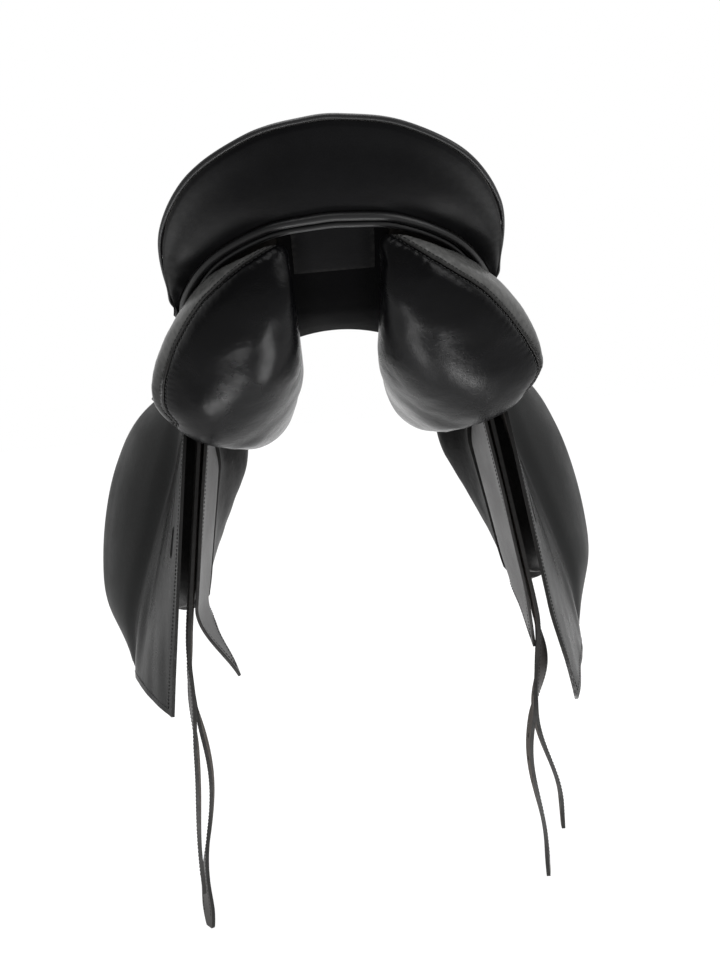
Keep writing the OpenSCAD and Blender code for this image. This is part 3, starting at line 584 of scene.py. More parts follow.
FOAM = sponge("seat_sponge", (0.62, 0.55, 0.38))
WEBBING = woven("web_weave", (0.62, 0.56, 0.45), 190.0)
DARK_BEECH = wood("stained_beech", (0.02, 0.016, 0.013), (0.012, 0.01, 0.008), (0.007, 0.006, 0.005))
TREE_STEEL = metal("tree_steel", (0.09, 0.09, 0.095), 0.42)
BAR_STEEL = metal("bar_steel", (0.5, 0.5, 0.51), 0.3)
BRIGHT = metal("bright_steel", (0.66, 0.66, 0.67), 0.2)
LEATHER_SIDES = [FLAP_LEATHER, DARK_FLESH, CUT_EDGE]

# Seat and tree: a rim line, a base line and the layers between them

BACK_ANGLES = np.radians([6, 25, 50, 75, 98, 117])
TURN = 1 - np.cos(BACK_ANGLES)
GIRDLE = np.where(BACK_ANGLES < np.pi / 2, np.sin(BACK_ANGLES), (1 + np.sin(BACK_ANGLES)) / 2)
BASE_FALL = BAND_H - 35
SETTLE = TURN**1.3 / (1 + 0.62 * TURN)
RIM = np.concatenate([
    np.stack([CANTLE_W / 2 * GIRDLE, 75 * TURN**1.6 - CANTLE_BACK, CANTLE_H - RIM_DROP * TURN], -1),
    [
        [WAIST_X + 6, -40, EDGE_H + 5],
        [WAIST_X, 30, EDGE_H],
        [WAIST_X - 5, 100, EDGE_H + 8],
        [WAIST_X - 15, POMMEL_FWD - 57, EDGE_H + 35],
        [WAIST_X - 40, POMMEL_FWD - 17, EDGE_H + 64],
        [22, POMMEL_FWD, EDGE_H + 82],
    ],
])
BASE = np.concatenate([
    np.stack([
        TREE_W / 2 * GIRDLE, RAKE - CANTLE_BACK + 90 * TURN, BAND_H - BASE_FALL * SETTLE], -1),
    [
        [WAIST_X - 4, -40, EDGE_H - 14],
        [WAIST_X - 9, 30, EDGE_H - 20],
        [WAIST_X - 15, 100, EDGE_H - 14],
        [WAIST_X - 23, POMMEL_FWD - 57, EDGE_H + 8],
        [WAIST_X - 45, POMMEL_FWD - 17, EDGE_H + 32],
        [20, POMMEL_FWD - 2, EDGE_H + 44],
    ],
])
ARCH = [0.3, 1, -3, 3, 7.5, 15, 20, 22, 22, 19, 13, 7]
PADDING = [60.8, 45.8, 44.8, 44.4]
CROWN = np.concatenate([
    [0, 1], BASE[2:6, 2] + ARCH[2:6] + PADDING - RIM[2:6, 2], [38, 39, 39, 35, 26, 12]])
DISH = [4, 10, 16, 11, 4, 0, 0, 0, 0, 0, 0, -1]
LAST = len(RIM) - 1


def bowed(line, lift, s, u):
    p = spline(line, s)
    return np.stack([u * p[..., 0], p[..., 1], p[..., 2] + spline(lift, s) * (1 - u * u)], -1)


def seat_pt(s, u):
    points = bowed(RIM, CROWN, s, u)
    points[..., 1] += spline(DISH, s) * (1 - 0.65 * u**4)
    return points


def base_pt(s, u):
    return bowed(BASE, ARCH, s, u)


def seat_out(s, u):
    across = seat_pt(s, u + 0.01) - seat_pt(s, u - 0.01)
    return unit(np.cross(across, seat_pt(s + 0.03, u) - seat_pt(s - 0.03, u)))


def above(s, u, t):
    base = base_pt(s, u)
    return base + unit(seat_pt(s, u) - base) * column(t)


def below(s, u, t):
    return seat_pt(s, u) - seat_out(s, u) * column(t)


WEB_LOW = BOARD_T + 2 * LAY
FOAM_LOW = WEB_LOW + 2 * WEB_T + 4 * LAY
SEAM_U = 0.6
SEAM_DEPTH = 1.5
SEAM_HALF = 2.6
SEAM_ROWS = (-3.4, 3.4)
FOAM_START = 1.65


def seat_top(s, u):
    """Seat leather, drawn in a little along its two seams."""
    seam = np.abs(np.abs(u) - SEAM_U) * spline(RIM, s)[..., 0]
    depth = SEAM_DEPTH * bump(seam, SEAM_HALF) * ramp(1.2, 2.0, s)
    return seat_pt(s, u) - seat_out(s, u) * column(depth)


s, u = grid(np.linspace(0, LAST, 250), np.linspace(-1, 1, 161))
seat = slab("seat_cover", seat_top(s, u), below(s, u, SEAT_T), [SEAT_LEATHER, DARK_FLESH], "saddle",
            "black_leather", ["seat_cover"], 0.8)
rows = []
for side in (-1, 1):
    for shift in SEAM_ROWS:
        s = np.linspace(1.9, 10.6, 700)
        u = side * (SEAM_U + shift / spline(RIM, s)[:, 0])
        rows.append((seat_top(s, u), seat_out(s, u)))
stitches("seat_stitches", rows, "saddle")

s, u = grid(np.linspace(FOAM_START, LAST - 0.06, 110), np.linspace(-0.85, 0.85, 41))
foam_top = SEAT_T + 2 * LAY
low = lerp(below(s, u, foam_top + 3), above(s, u, FOAM_LOW), column(ramp(FOAM_START, 4, s)))
foam = slab("seat_foam", below(s, u, foam_top), low, [FOAM], "saddle", "foam", ["seat_foam"], 0.8)

s, u = grid(np.linspace(1.2, 10.2, 90), np.linspace(-0.22, 0.22, 13))
low = WEB_LOW + WEB_T + LAY
slab("long_web", above(s, u, low + WEB_T), above(s, u, low), [WEBBING], "saddle", "webbing",
     ["long_web"], 0.5)

# The upright faces at the two ends of the seat


def end_line(end, rows, q):
    """A line of the seat from side to side round one of its ends."""
    p = rows if end < 0 else rows[::-1]
    flipped = p[::-1] * np.array([-1, 1, 1])
    return spline(np.concatenate([flipped, p]), np.asarray(q, float) + len(p) - 0.5)


def wall(end, q, h):
    return lerp(end_line(end, BASE, q), end_line(end, RIM, q), column(h))


def wall_height(end, q):
    return np.linalg.norm(end_line(end, RIM, q) - end_line(end, BASE, q), axis=-1)


def wall_frame(end, q, h):
    """Directions out of an end's face and up in it, square to its edge, with the slant of its lines."""
    up = unit(wall(end, q, np.ones_like(q)) - wall(end, q, np.zeros_like(q)))
    along = unit(wall(end, q + 0.15, h) - wall(end, q - 0.15, h))
    out = end * unit(np.cross(up, along))
    rise = end * np.cross(along, out)
    return out, rise, np.sum(up * rise, axis=-1)


def wall_pt(end, q, h, out):
    q, h = np.broadcast_arrays(np.asarray(q, float), np.asarray(h, float))
    return wall(end, q, h) + wall_frame(end, q, h)[0] * column(out)


BACK_REACH = 6.05
CREASE_Q = -3.6
WELT_RADIUS = 4
RIM_CLEAR = 3.0
FACING_SWELL = 4
FACING_TOP = 4.4
FACING_TUCK = 1.8
q, h = grid(np.linspace(-BACK_REACH, BACK_REACH, 420), np.linspace(0, 1, 60))
zero = np.zeros_like(q)
height = wall_height(-1, q)
low = (WELT_RADIUS + LAY) / wall_frame(-1, q, zero)[2] / height
high = 1 - RIM_CLEAR / wall_frame(-1, q, zero + 1)[2] / height
up = lerp(low, high, h)
fold = bump(q - CREASE_Q, 0.5) * bump(h - 0.2, 0.28)
crease = 0.9 * fold * np.sin(9 * (q - CREASE_Q) + 11 * h)
full = lerp(FACING_SWELL * np.sin(np.pi * h), FACING_TOP, ramp(0.5, 0.9, h))
full = full - FACING_TUCK * ramp(0.94, 1, h)
swell = LAY + SEAT_T + full + crease + 0.25 * lumps(wall(-1, q, h), 45, 3.1)
# Lighter towards both sides and the top: partly edge wear, and partly painted sheen standing in for the
# bright surroundings reflected at the sides
worn_and_sheen = ramp(1.6, 4.2, np.abs(q)) * ramp(0, 0.8, h)
slab("cantle_facing", wall_pt(-1, q, up, swell), wall_pt(-1, q, up, zero + LAY),
     [BACK_LEATHER, DARK_FLESH], "saddle", "black_leather", ["cantle_facing"], 0.8, wear_and_sheen=worn_and_sheen)

q = np.linspace(-BACK_REACH, BACK_REACH, 420)
one = np.ones_like(q)
thick = lerp(2.6, 1.5, ramp(2.4, 4.6, np.abs(q)))
tube("cantle_piping", wall_pt(-1, q, one, thick + 4 * LAY), thick, [WELT_LEATHER], "saddle",
     ["cantle_piping"], swell=0.1, seed=1.7)

# Each welt's name, reach, number of points, distances out and down, radius, unevenness and seed
WELTS = [
    ("band_welt_upper", BACK_REACH, 420, WELT_RADIUS + LAY, 0, WELT_RADIUS, 0.25, 5.3),
    ("band_welt_lower", BACK_REACH - 0.4, 400, 2.4, 7.4, 3, 0.2, 8.9),
]
for name, reach, count, off, lower, radius, swell, seed in WELTS:
    q = np.linspace(-reach, reach, count)
    zero = np.zeros_like(q)
    out, rise = wall_frame(-1, q, zero)[:2]
    tube(name, wall(-1, q, zero) + out * off - rise * lower, radius, [WELT_LEATHER], "saddle",
         [name], swell=swell, seed=seed)

# Lining over the channel, with its bound rear edge and a plain patch

LINING_GAP = 0.9
LINING_T = 2.6


def lining_u(s, u):
    return u * np.minimum(0.96, (GULLET_W / 2 + 12) / spline(BASE, s)[..., 0])


def lining_pt(s, u, depth):
    """Point that much below the tree's base, in a strip as wide as the lining."""
    return above(s, lining_u(s, u), -depth)


LINING_LOW = LINING_GAP + LINING_T
s, u = grid(np.linspace(0.1, 9.3, 190), np.linspace(-1, 1, 41))
slab("gullet_lining", lining_pt(s, u, LINING_LOW), lining_pt(s, u, LINING_GAP),
     [LINING_LEATHER, DARK_FLESH], "saddle", "black_leather", ["gullet_lining"], 0.7)
tube("lining_binding", lining_pt(s[0], u[0], LINING_LOW + 0.2), 1.6, [WELT_LEATHER], "saddle")
s, u = grid(np.linspace(0.3, 2.6, 40), np.linspace(-0.75, 0.75, 30))
slab("lining_patch", lining_pt(s, u, LINING_LOW + 1.5), lining_pt(s, u, LINING_LOW + 0.2),
     [PATCH_LEATHER, DARK_FLESH, CUT_EDGE], "saddle", "black_leather", (), 0.4)

POMMEL_CROWN = 8.6
POMMEL_LEAN = 2.6
POMMEL_PUFF = 0.8


def pommel_pt(q, h, out):
    """Front face of the pommel. In the middle it rises to the seat's crown and leans back against it."""
    crown = np.clip(1 - (q / 0.52) ** 2, 0, None)
    up = lerp(0.02, 0.97 + POMMEL_CROWN * crown / wall_height(1, q), h)
    return wall_pt(1, q, up, out - POMMEL_LEAN * crown * ramp(0.4, 1, h))


q, h = grid(np.linspace(-2.5, 2.5, 141), np.linspace(0, 1, 30))
puff = POMMEL_PUFF * np.sin(np.pi * h)
slab("pommel_facing", pommel_pt(q, h, LAY + SEAT_T + puff), pommel_pt(q, h, LAY + 0 * q),
     [FLAP_LEATHER, DARK_FLESH], "saddle", "black_leather", ["pommel_facing"], 0.8)
q = np.linspace(-2.42, 2.42, 300)
rows = []
for level in (0.08, 0.92):
    h = 0 * q + level
    raised = LAY + SEAT_T + POMMEL_PUFF * math.sin(math.pi * level)
    rows.append((pommel_pt(q, h, raised), wall_frame(1, q, h)[0]))
stitches("pommel_stitches", rows, "saddle")

# Sides: sheets that hang at both sides, as distances out from the centre line

HINGE_Z = 53
BULGE = [
    [-1.16, 0], [-1, 0.33], [-0.84, 0.68], [-0.71, 0.92], [-0.59, 1],
    [-0.4, 1], [-0.23, 0.9], [-0.087, 0.68], [0.058, 0.16], [0.154, 0],
]
PUSH = [
    [-90, 0], [8, 0], [20, 0.08], [40, 0.36], [65, 0.66], [90, 0.86], [120, 1], [170, 0.97], [215, 0.8],
]
FAN = [[0, 0], [26, 0.38], [56, 0.75], [80, 0.95], [94, 1], [290, 1]]
FAN_OUT = {-1: 0.16, 1: 0.12}
CORNER_TURN = {-1: 0, 1: 7}
CURL = {-1: 58, 1: 6}
FLAP_BACK = [[0, -30], [0.14, -62], [0.27, -76], [0.5, -72], [0.85, -58], [1, -45]]
VALLEY = 5
VALLEY_AT = 100
SPLAY = 0.155
SHOULDER = 37
SHOULDER_Z = -20
SWEAT_IN = 21
SWEAT_SPLAY = 0.165


def hang(z):
    """Distance out at which a sheet hangs by itself."""
    bent = np.maximum(0, z - SHOULDER_Z) / (HINGE_Z - SHOULDER_Z)
    return HANG_X - SPLAY * z - SHOULDER * bent**2


def from_rear(y, z):
    """Distance in front of the flap's rear edge."""
    return y - profile(FLAP_BACK, (HINGE_Z - z) / (HINGE_Z + FLAP_DROP))


def flap_x(side, y, z):
    rise = (BLOCK_RISE - side * BLOCK_LEAN) * profile(BULGE, z / FLAP_DROP)
    out = FAN_OUT[side] * np.maximum(0, -z)
    d = from_rear(y, z)
    turn = CORNER_TURN[side] * ramp(-250, -345, z) * (1 - ramp(0, 50, d))
    valley = VALLEY * bump(d - VALLEY_AT, 9) * ramp(-10, -90, z)
    return hang(z) + out * profile(FAN, d) + np.maximum(0, rise - out) * profile(PUSH, y) + turn - valley


def sweat_x(side, y, z):
    turned = HANG_X - SWEAT_IN - SWEAT_SPLAY * z + 0.23 * (20 - z) * ramp(15, 150, y)
    hollow = 9 * ramp(-50, 40, y) * (ramp(-45, -90, z) - ramp(-200, -300, z))
    return turned - hollow - CURL[side] * ramp(-220, -325, z) * (1 - 0.25 * ramp(20, 150, y))


def sheet_out(at, side, y, z):
    """Outward direction of a sheet, for the right-hand side."""
    in_y = at(side, y - 0.5, z) - at(side, y + 0.5, z)
    in_z = at(side, y, z - 0.5) - at(side, y, z + 0.5)
    return unit(np.stack([np.ones_like(in_y), in_y, in_z], -1))


def sheet_pt(at, side, y, z, out):
    points = np.stack([at(side, y, z), y + 0 * z, z + 0 * y], -1)
    return mirrored(points + sheet_out(at, side, y, z) * column(out), side)


def mirrored(v, side):
    return v * np.array([side, 1, 1])


def spread(back, fore, a, q):
    """Distances forward in a sheet, from those of its rear and front edges."""
    return lerp(profile(back, q), profile(fore, q), a)


FLAP_RISE = [[0, 0], [0.3, 23], [0.6, 37], [0.85, 60], [1, 110]]
FLAP_FORE = [[0, 175], [0.15, 180], [0.4, 200], [0.65, 195], [1, 140]]


def flap_yz(side, a, q):
    more = RIGHT_LOWER if side > 0 else 0
    top = HINGE_Z - 57 * (ramp(0.22, 0.3, a) - ramp(0.8, 0.88, a))
    foot = profile(FLAP_RISE, a) - FLAP_DROP - more * (1 - a)
    return spread(FLAP_BACK, FLAP_FORE, a, q), lerp(top, foot, q)


SWEAT_BACK = [[0, -46], [0.2, -60], [0.6, -58], [0.85, -50], [1, -38]]
SWEAT_FORE = [[0, 140], [0.3, 180], [0.6, 188], [1, 140]]
SWEAT_RISE = [[0, 35], [0.12, 50], [0.25, 74], [0.6, 112], [1, 150]]


def sweat_yz(side, a, q):
    foot = profile(SWEAT_RISE, a) - FLAP_DROP
    return spread(SWEAT_BACK, SWEAT_FORE, a, q), lerp(2, foot, q)


SKIRT_BACK = [[0, -8], [0.5, 2], [1, 26]]
SKIRT_FORE = [[0, 168], [0.5, 172], [1, 142]]


def skirt_yz(side, a, q):
    foot = 16 * np.abs(2 * a - 1) ** 3 - 14
    return spread(SKIRT_BACK, SKIRT_FORE, a, q), lerp(HINGE_Z + 2, foot, q)


def border(outline, at, side, out, inset, top):
    """Line just inside a sheet's edges, with the directions out of it.

    It starts and ends at part top of the height.
    """
    down = np.linspace(top, 1, 400)
    over = np.linspace(0, 1, 400)
    y, z = outline(side, *grid(over, down))
    wide = np.abs(y[-1] - y[0])
    tall = np.abs(z[:, -1] - z[:, 0])
    share = inset / wide
    foot = 1 - inset / np.maximum(tall, 1) * (1 - top)
    corner = 12
    side_down = down[:-corner]
    a = np.concatenate([share[:-corner], over[corner:-corner], (1 - share)[:-corner][::-1]])
    q = np.concatenate([side_down, foot[corner:-corner], side_down[::-1]])
    y, z = outline(side, a, q)
    keep = np.concatenate([[True], np.hypot(np.diff(y), np.diff(z)) > 0.02])
    y, z = y[keep], z[keep]
    way = np.sign(out)
    return sheet_pt(at, side, y, z, out), mirrored(sheet_out(at, side, y, z) * way, side)


def stadium(length, width):
    """Outline of a slot in the plane across X, long in Z."""
    angle = np.linspace(0, np.pi, 17)
    half = (length - width) / 2
    top = np.stack([0 * angle, width / 2 * np.cos(angle), half + width / 2 * np.sin(angle)], -1)
    return np.concatenate([top, -top])


SLOT_Y = -46
SLOT_Z = -152
SKIRT_GAP = 1.7
BLOCK_Y = (46, 162)
BLOCK_Z = (-30, -246)
PAD_Y = (58, 176)
PAD_Z = (-62, -252)
YOKE_STATIONS = (6.05, 8.94)
SIDES = {-1: "left", 1: "right"}

for side, word in SIDES.items():
    a, q = unit_grid(220, 190)
    y, z = flap_yz(side, a, q)
    slot = stadium(SLOT_L, SLOT_W) + [0, SLOT_Y, SLOT_Z]
    middle = side * flap_x(side, np.array(SLOT_Y), np.array(SLOT_Z))
    hole = prism(slot, [middle - 20, 0, 0], [middle + 20, 0, 0])
    # The rear strip of each flap is glossier and painted darker: the gloss is polish, and the darker
    # colour is painted shade
    strip = 1 - ramp(VALLEY_AT - 8, VALLEY_AT + 10, from_rear(y, z))
    streak = 0.45 * strip * lumps(np.stack([y, 0 * y, 0.12 * z], -1), 13, 7.7 + side)
    grain_side = sheet_pt(flap_x, side, y, z, FLAP_T / 2 + streak)
    slab(f"flap_{word}", grain_side, sheet_pt(flap_x, side, y, z, -FLAP_T / 2), LEATHER_SIDES,
         f"{word}_flap", "black_leather", [f"flap_{word}"], 1.0, hole, strip)
    rows = [border(flap_yz, flap_x, side, FLAP_T / 2, 6, 0.22)]
    stitches(f"flap_stitches_{word}", rows, f"{word}_flap")

    a, q = unit_grid(110, 70)
    y, z = skirt_yz(side, a, q)
    low = FLAP_T / 2 + SKIRT_GAP
    slab(f"skirt_{word}", sheet_pt(flap_x, side, y, z, low + SKIRT_T), sheet_pt(flap_x, side, y, z, low),
         LEATHER_SIDES, f"{word}_skirt", "black_leather", [f"skirt_{word}"], 1.0)
    rows = [border(skirt_yz, flap_x, side, low + SKIRT_T, 5, 0.05)]
    stitches(f"skirt_stitches_{word}", rows, f"{word}_skirt")

    a, q = unit_grid(110, 140)
    y, z = sweat_yz(side, a, q)
    wave = 0.7 * np.sin(y / 31) * np.sin(z / 43) * ramp(-60, -160, z)
    faces = [sheet_pt(sweat_x, side, y, z, wave + way * SWEAT_T / 2) for way in (-1, 1)]
    slab(f"sweat_flap_{word}", *faces, [SWEAT_LEATHER, SWEAT_LEATHER, CUT_EDGE], "saddle",
         "sweat_leather", [f"sweat_flap_{word}"], 1.0)
    rows = [border(sweat_yz, sweat_x, side, -SWEAT_T / 2, 6, 0.1)]
    stitches(f"sweat_stitches_{word}", rows, "saddle")

    # Block between the sweat flap and the flap, fullest in its middle
    a, q = unit_grid(60, 80)
    y = lerp(*BLOCK_Y, a) - 7 * q
    z = lerp(BLOCK_Z[0], BLOCK_Z[1] + 30 * (2 * a - 1) ** 2, q)
    inner = mirrored(sheet_pt(sweat_x, side, y, z, SWEAT_T / 2 + 3 * LAY), side)
    x, y, z = np.moveaxis(inner, -1, 0)
    tilt = 1 / sheet_out(flap_x, side, y, z)[..., 0]
    full = flap_x(side, y, z) - (FLAP_T / 2 + 3 * LAY) * tilt
    outer = np.stack([lerp(x + 6, full, inside(a, 0.3) * inside(q, 0.22)), y, z], -1)
    block = slab(f"thigh_block_{word}", mirrored(outer, side), mirrored(inner, side), [PAD_LEATHER],
                 "saddle", "block_cover", [f"thigh_block_{word}"], 2.0)

    # Stuffed pad on the horse's side of the sweat flap
    a, q = unit_grid(90, 110)
    y = lerp(*PAD_Y, a) - 14 * q
    z = lerp(PAD_Z[0], PAD_Z[1] + 26 * (2 * a - 1) ** 2, q)
    fat = 5 + (FRONT_PAD_T * (1 - 0.75 * q) - 5) * inside(a, 0.3) * ramp(-0.3, 0.05, q)
    back = SWEAT_T / 2 + 2 * LAY
    smooth = sheet_pt(sweat_x, side, y, z, -back - fat)
    wrinkle = 0.9 * lumps(smooth * np.array([1, 1, 0.45]), 12, 4.4) * inside(a, 0.15) * inside(q, 0.1)
    inner = sheet_pt(sweat_x, side, y, z, -back - fat - wrinkle)
    # The right pad gets the darker copy of the pad leather: painted shade
    look = PAD_LEATHER if side < 0 else SHADED_PAD_LEATHER
    pad = slab(f"front_pad_{word}", inner, sheet_pt(sweat_x, side, y, z, -back), [look], "saddle",
               "panel_leather", [f"front_pad_{word}"], 2.0)

    # Yoke from the seat's edge to the tops of the flap and the skirt
    s, u = grid(np.linspace(*YOKE_STATIONS, 90), np.linspace(0, 1, 24))
    edge_x = hang(HINGE_Z) - FLAP_T / 2 - 0.9
    p = spline(RIM, s)
    fall = lerp(p[..., 2] - 1, HINGE_Z - 0.5, 1 - (1 - u) ** 2)
    yoke = np.stack([lerp(p[..., 0] + LAY, edge_x, u), p[..., 1], fall], -1)
    slab(f"seat_yoke_{word}", mirrored(yoke, side), mirrored(yoke - [0, 0, 4], side),
         [FLAP_LEATHER, DARK_FLESH], "saddle", "black_leather", [f"seat_yoke_{word}"], 1.0)

# Stuffed panels

PANEL_WAIST = HANG_X - SWEAT_IN + SWEAT_SPLAY * 12 - SWEAT_T / 2 - 0.6
PANEL_OUT = np.array([
    PANEL_X - 25, PANEL_X - 8, PANEL_X, PANEL_X - 2, PANEL_X - 14, PANEL_WAIST + 9.4,
    PANEL_WAIST - 2, PANEL_WAIST, PANEL_WAIST - 2, PANEL_WAIST - 16, PANEL_WAIST - 36, PANEL_WAIST - 44,
])
PANEL_SWELL = np.array([1, 1, 1, 1, 0.7, 0.1, 0, 0, 0, 0, 0, 0])
PANEL_MID = [20, 12, 4, 0, -8, -11, -12, -12, -10, 0, 25, 40]
PANEL_LIFT = [106, 88, 54, 26, 10, 3, 0, 0, 4, 22, 59, 84]
PANEL_SWEEP = 46
PANEL_KEYS = 9
PANEL_START = 1
PANEL_END = 9
REAR_GAP = 12
REAR_DOME = 21
FRONT_DOME = 26


def base_at(s, x):
    b = spline(BASE, s)
    u = np.minimum(1, x / b[..., 0])
    return b[..., 2] + spline(ARCH, s) * (1 - u * u) - np.maximum(0, x - b[..., 0]) * 0.5


def panel_edges(side, s):
    """Distances of a panel's inner and outer sides from the centre line."""
    wide = PANEL_OUT + (RIGHT_WIDER * PANEL_SWELL if side > 0 else 0)
    return GULLET_W / 2 + CHANNEL_FLARE * ramp(4, 9, s), spline(wide, s)


def panel_keys(side, s):
    """The nine key points of a panel's section, in X and Z."""
    gap = lerp(REAR_GAP, LINING_LOW + LAY, ramp(2, 3.6, s))
    xi, xo = panel_edges(side, s)
    xt = xi + 10
    xm = (xt + xo - 13) / 2
    zo = spline(PANEL_MID, s)
    zb = spline(PANEL_LIFT, s) - PANEL_DROP
    zt = base_at(s, xt) - gap
    zm = base_at(s, xm) - gap - 4 * ramp(2, 4, s)
    r = 1 - ramp(4, 7, s)
    x = [
        xt, xi, xi + 3 * r, xi + 16 + 20 * r, lerp(xi, xo, 0.55 + 0.07 * r), xo - 11 - 3 * r, xo,
        xo - 13 - 7 * r, xm,
    ]
    z = [
        zt, lerp(zt, zb, 0.2), lerp(zt, zb, 0.55), lerp(zt, zb, 0.88 - 0.03 * r), zb,
        lerp(zb, zo, 0.42 - 0.1 * r), zo, lerp(zo, zm, 0.45 + 0.05 * r), zm,
    ]
    return np.stack([np.stack(x), np.stack(z)], -1)


def panel_pt(side, t, s, dome):
    """Point on a panel: t runs round the section, s along it, and dome over its ends from -90 to 90."""
    keys = panel_keys(side, s)
    i = np.floor(t).astype(int)
    spots = np.arange(len(s))
    a, b, c, d = (keys[(i + k) % PANEL_KEYS, spots] for k in (-1, 0, 1, 2))
    p = through(a, b, c, d, column(t - i))
    middle = (keys[1] + keys[6] + keys[0] + keys[8]) / 4
    angle = np.radians(dome)
    low = np.clip((middle[:, 1] - p[:, 1]) / (middle[:, 1] - keys[4, :, 1]), 0, 1)
    drawn = lerp(np.cos(angle), 1 - np.abs(np.sin(angle)), 0.5 * low)
    high = ramp(0.3, 0.9, (p[:, 1] - middle[:, 1]) / (keys[0, :, 1] - middle[:, 1])) * (angle < 0)
    drawn = lerp(drawn, (1 - np.abs(np.sin(angle)) ** 2.5) ** 0.4, high)
    p = lerp(middle, p, column(drawn))
    xi, xo = panel_edges(side, s)
    part = np.clip((p[:, 0] - xi) / (xo - xi), 0, 1)
    y = spline(BASE, s)[:, 1] + PANEL_SWEEP * (1 - ramp(1, 4.6, s)) * part**2
    y = y + np.where(angle < 0, REAR_DOME, FRONT_DOME) * np.sin(angle)
    return np.stack([side * p[:, 0], y, p[:, 1]], -1)


# Path of the seam on the back of each panel, as distances out and up
SEAM_PATH = {
    -1: [(53, 129), (83, 114), (122, 86), (149, 53), (166, 18), (171, -9), (162, -26)],
    1: [(53, 129), (85, 105), (130, 75), (159, 44), (180, 12), (186, -8), (176, -24)],
}
SEAM_START = 2.8
SEAM_HELD = 5
SEAM_GROOVE = 2.4
SEAM_DIP = 1.3
STITCH_OFF = 2.9
SKIN_VOXEL = 3.6
SKIN_EASE = 20
FILL_PRESSURE = 4
FILL_FRAMES = 20
FILL_MOST = 3.0


def point_tree(points):
    tree = KDTree(len(points))
    for k, p in enumerate(points):
        tree.insert(Vector(p), k)
    tree.balance()
    return tree


def nearest(tree, points):
    """Index of the tree's point that is nearest to each point, and its distance."""
    found = [tree.find(Vector(p)) for p in points]
    return np.array([f[1] for f in found]), np.array([f[2] for f in found])


def smoothed(values, width):
    kernel = np.ones(2 * width + 1) / (2 * width + 1)
    return np.convolve(np.pad(values, width, mode="edge"), kernel, mode="valid")


def smooth_line(line, turns):
    line = line.copy()
    for turn in range(turns):
        line[1:-1] = (line[:-2] + 2 * line[1:-1] + line[2:]) / 4
    return line


def even_skin(points, faces):
    """Object with an even mesh over a closed shape, its hard edges eased."""
    obj = bpy.data.objects.new("skin", new_mesh("skin", points, faces))
    scene.collection.objects.link(obj)
    cover = obj.modifiers.new("cover", "REMESH")
    cover.mode = "VOXEL"
    cover.voxel_size = SKIN_VOXEL * MM
    ease = obj.modifiers.new("ease", "SMOOTH")
    ease.iterations = SKIN_EASE
    apply_modifiers(obj)
    return obj


def fill(obj, held):
    """Lets the stuffing push a skin out a little by a cloth simulation, except at its held points."""
    start = mesh_points(obj.data)
    obj.vertex_groups.new(name="held").add([int(k) for k in held], 1.0, "REPLACE")
    cloth = obj.modifiers.new("stuffing", "CLOTH")
    cloth.settings.use_pressure = True
    cloth.settings.uniform_pressure_force = FILL_PRESSURE
    cloth.settings.effector_weights.gravity = 0
    cloth.settings.vertex_group_mass = "held"
    cloth.point_cache.frame_end = FILL_FRAMES
    for number in range(1, FILL_FRAMES + 1):
        scene.frame_set(number)
    apply_modifiers(obj)
    scene.frame_set(1)
    move = mesh_points(obj.data) - start
    size = np.maximum(np.linalg.norm(move, axis=1), 1e-6)
    free = 1 - ramp(-150, -60, start[:, 1])
    set_points(obj.data, start + move * column(np.minimum(1, FILL_MOST / size) * free))


def panel_seam(side, points, out):
    """Line of the seam over the back of a panel and forward along its outer edge."""
    rear = points[(out[:, 1] < -0.05) & (points[:, 1] < -110)]
    path = spline(SEAM_PATH[side], np.linspace(0, len(SEAM_PATH[side]) - 1, 260))
    seen = np.stack([side * path[:, 0], 0 * path[:, 0], path[:, 1]], -1)
    spots, gap = nearest(point_tree(rear * [1, 0, 1]), seen)
    back = seen + np.stack([0 * gap, smoothed(rear[spots, 1], 5), 0 * gap], -1)
    s = np.linspace(SEAM_START, 8.6, 220)
    fore = panel_pt(side, 0 * s + 4.95 + 0.3 * ramp(2.8, 4, s), s, 0 * s)
    line = smooth_line(np.concatenate([back, fore[8:]]), 40)
    spots, gap = nearest(point_tree(points), line)
    return smooth_line(points[spots], 25)


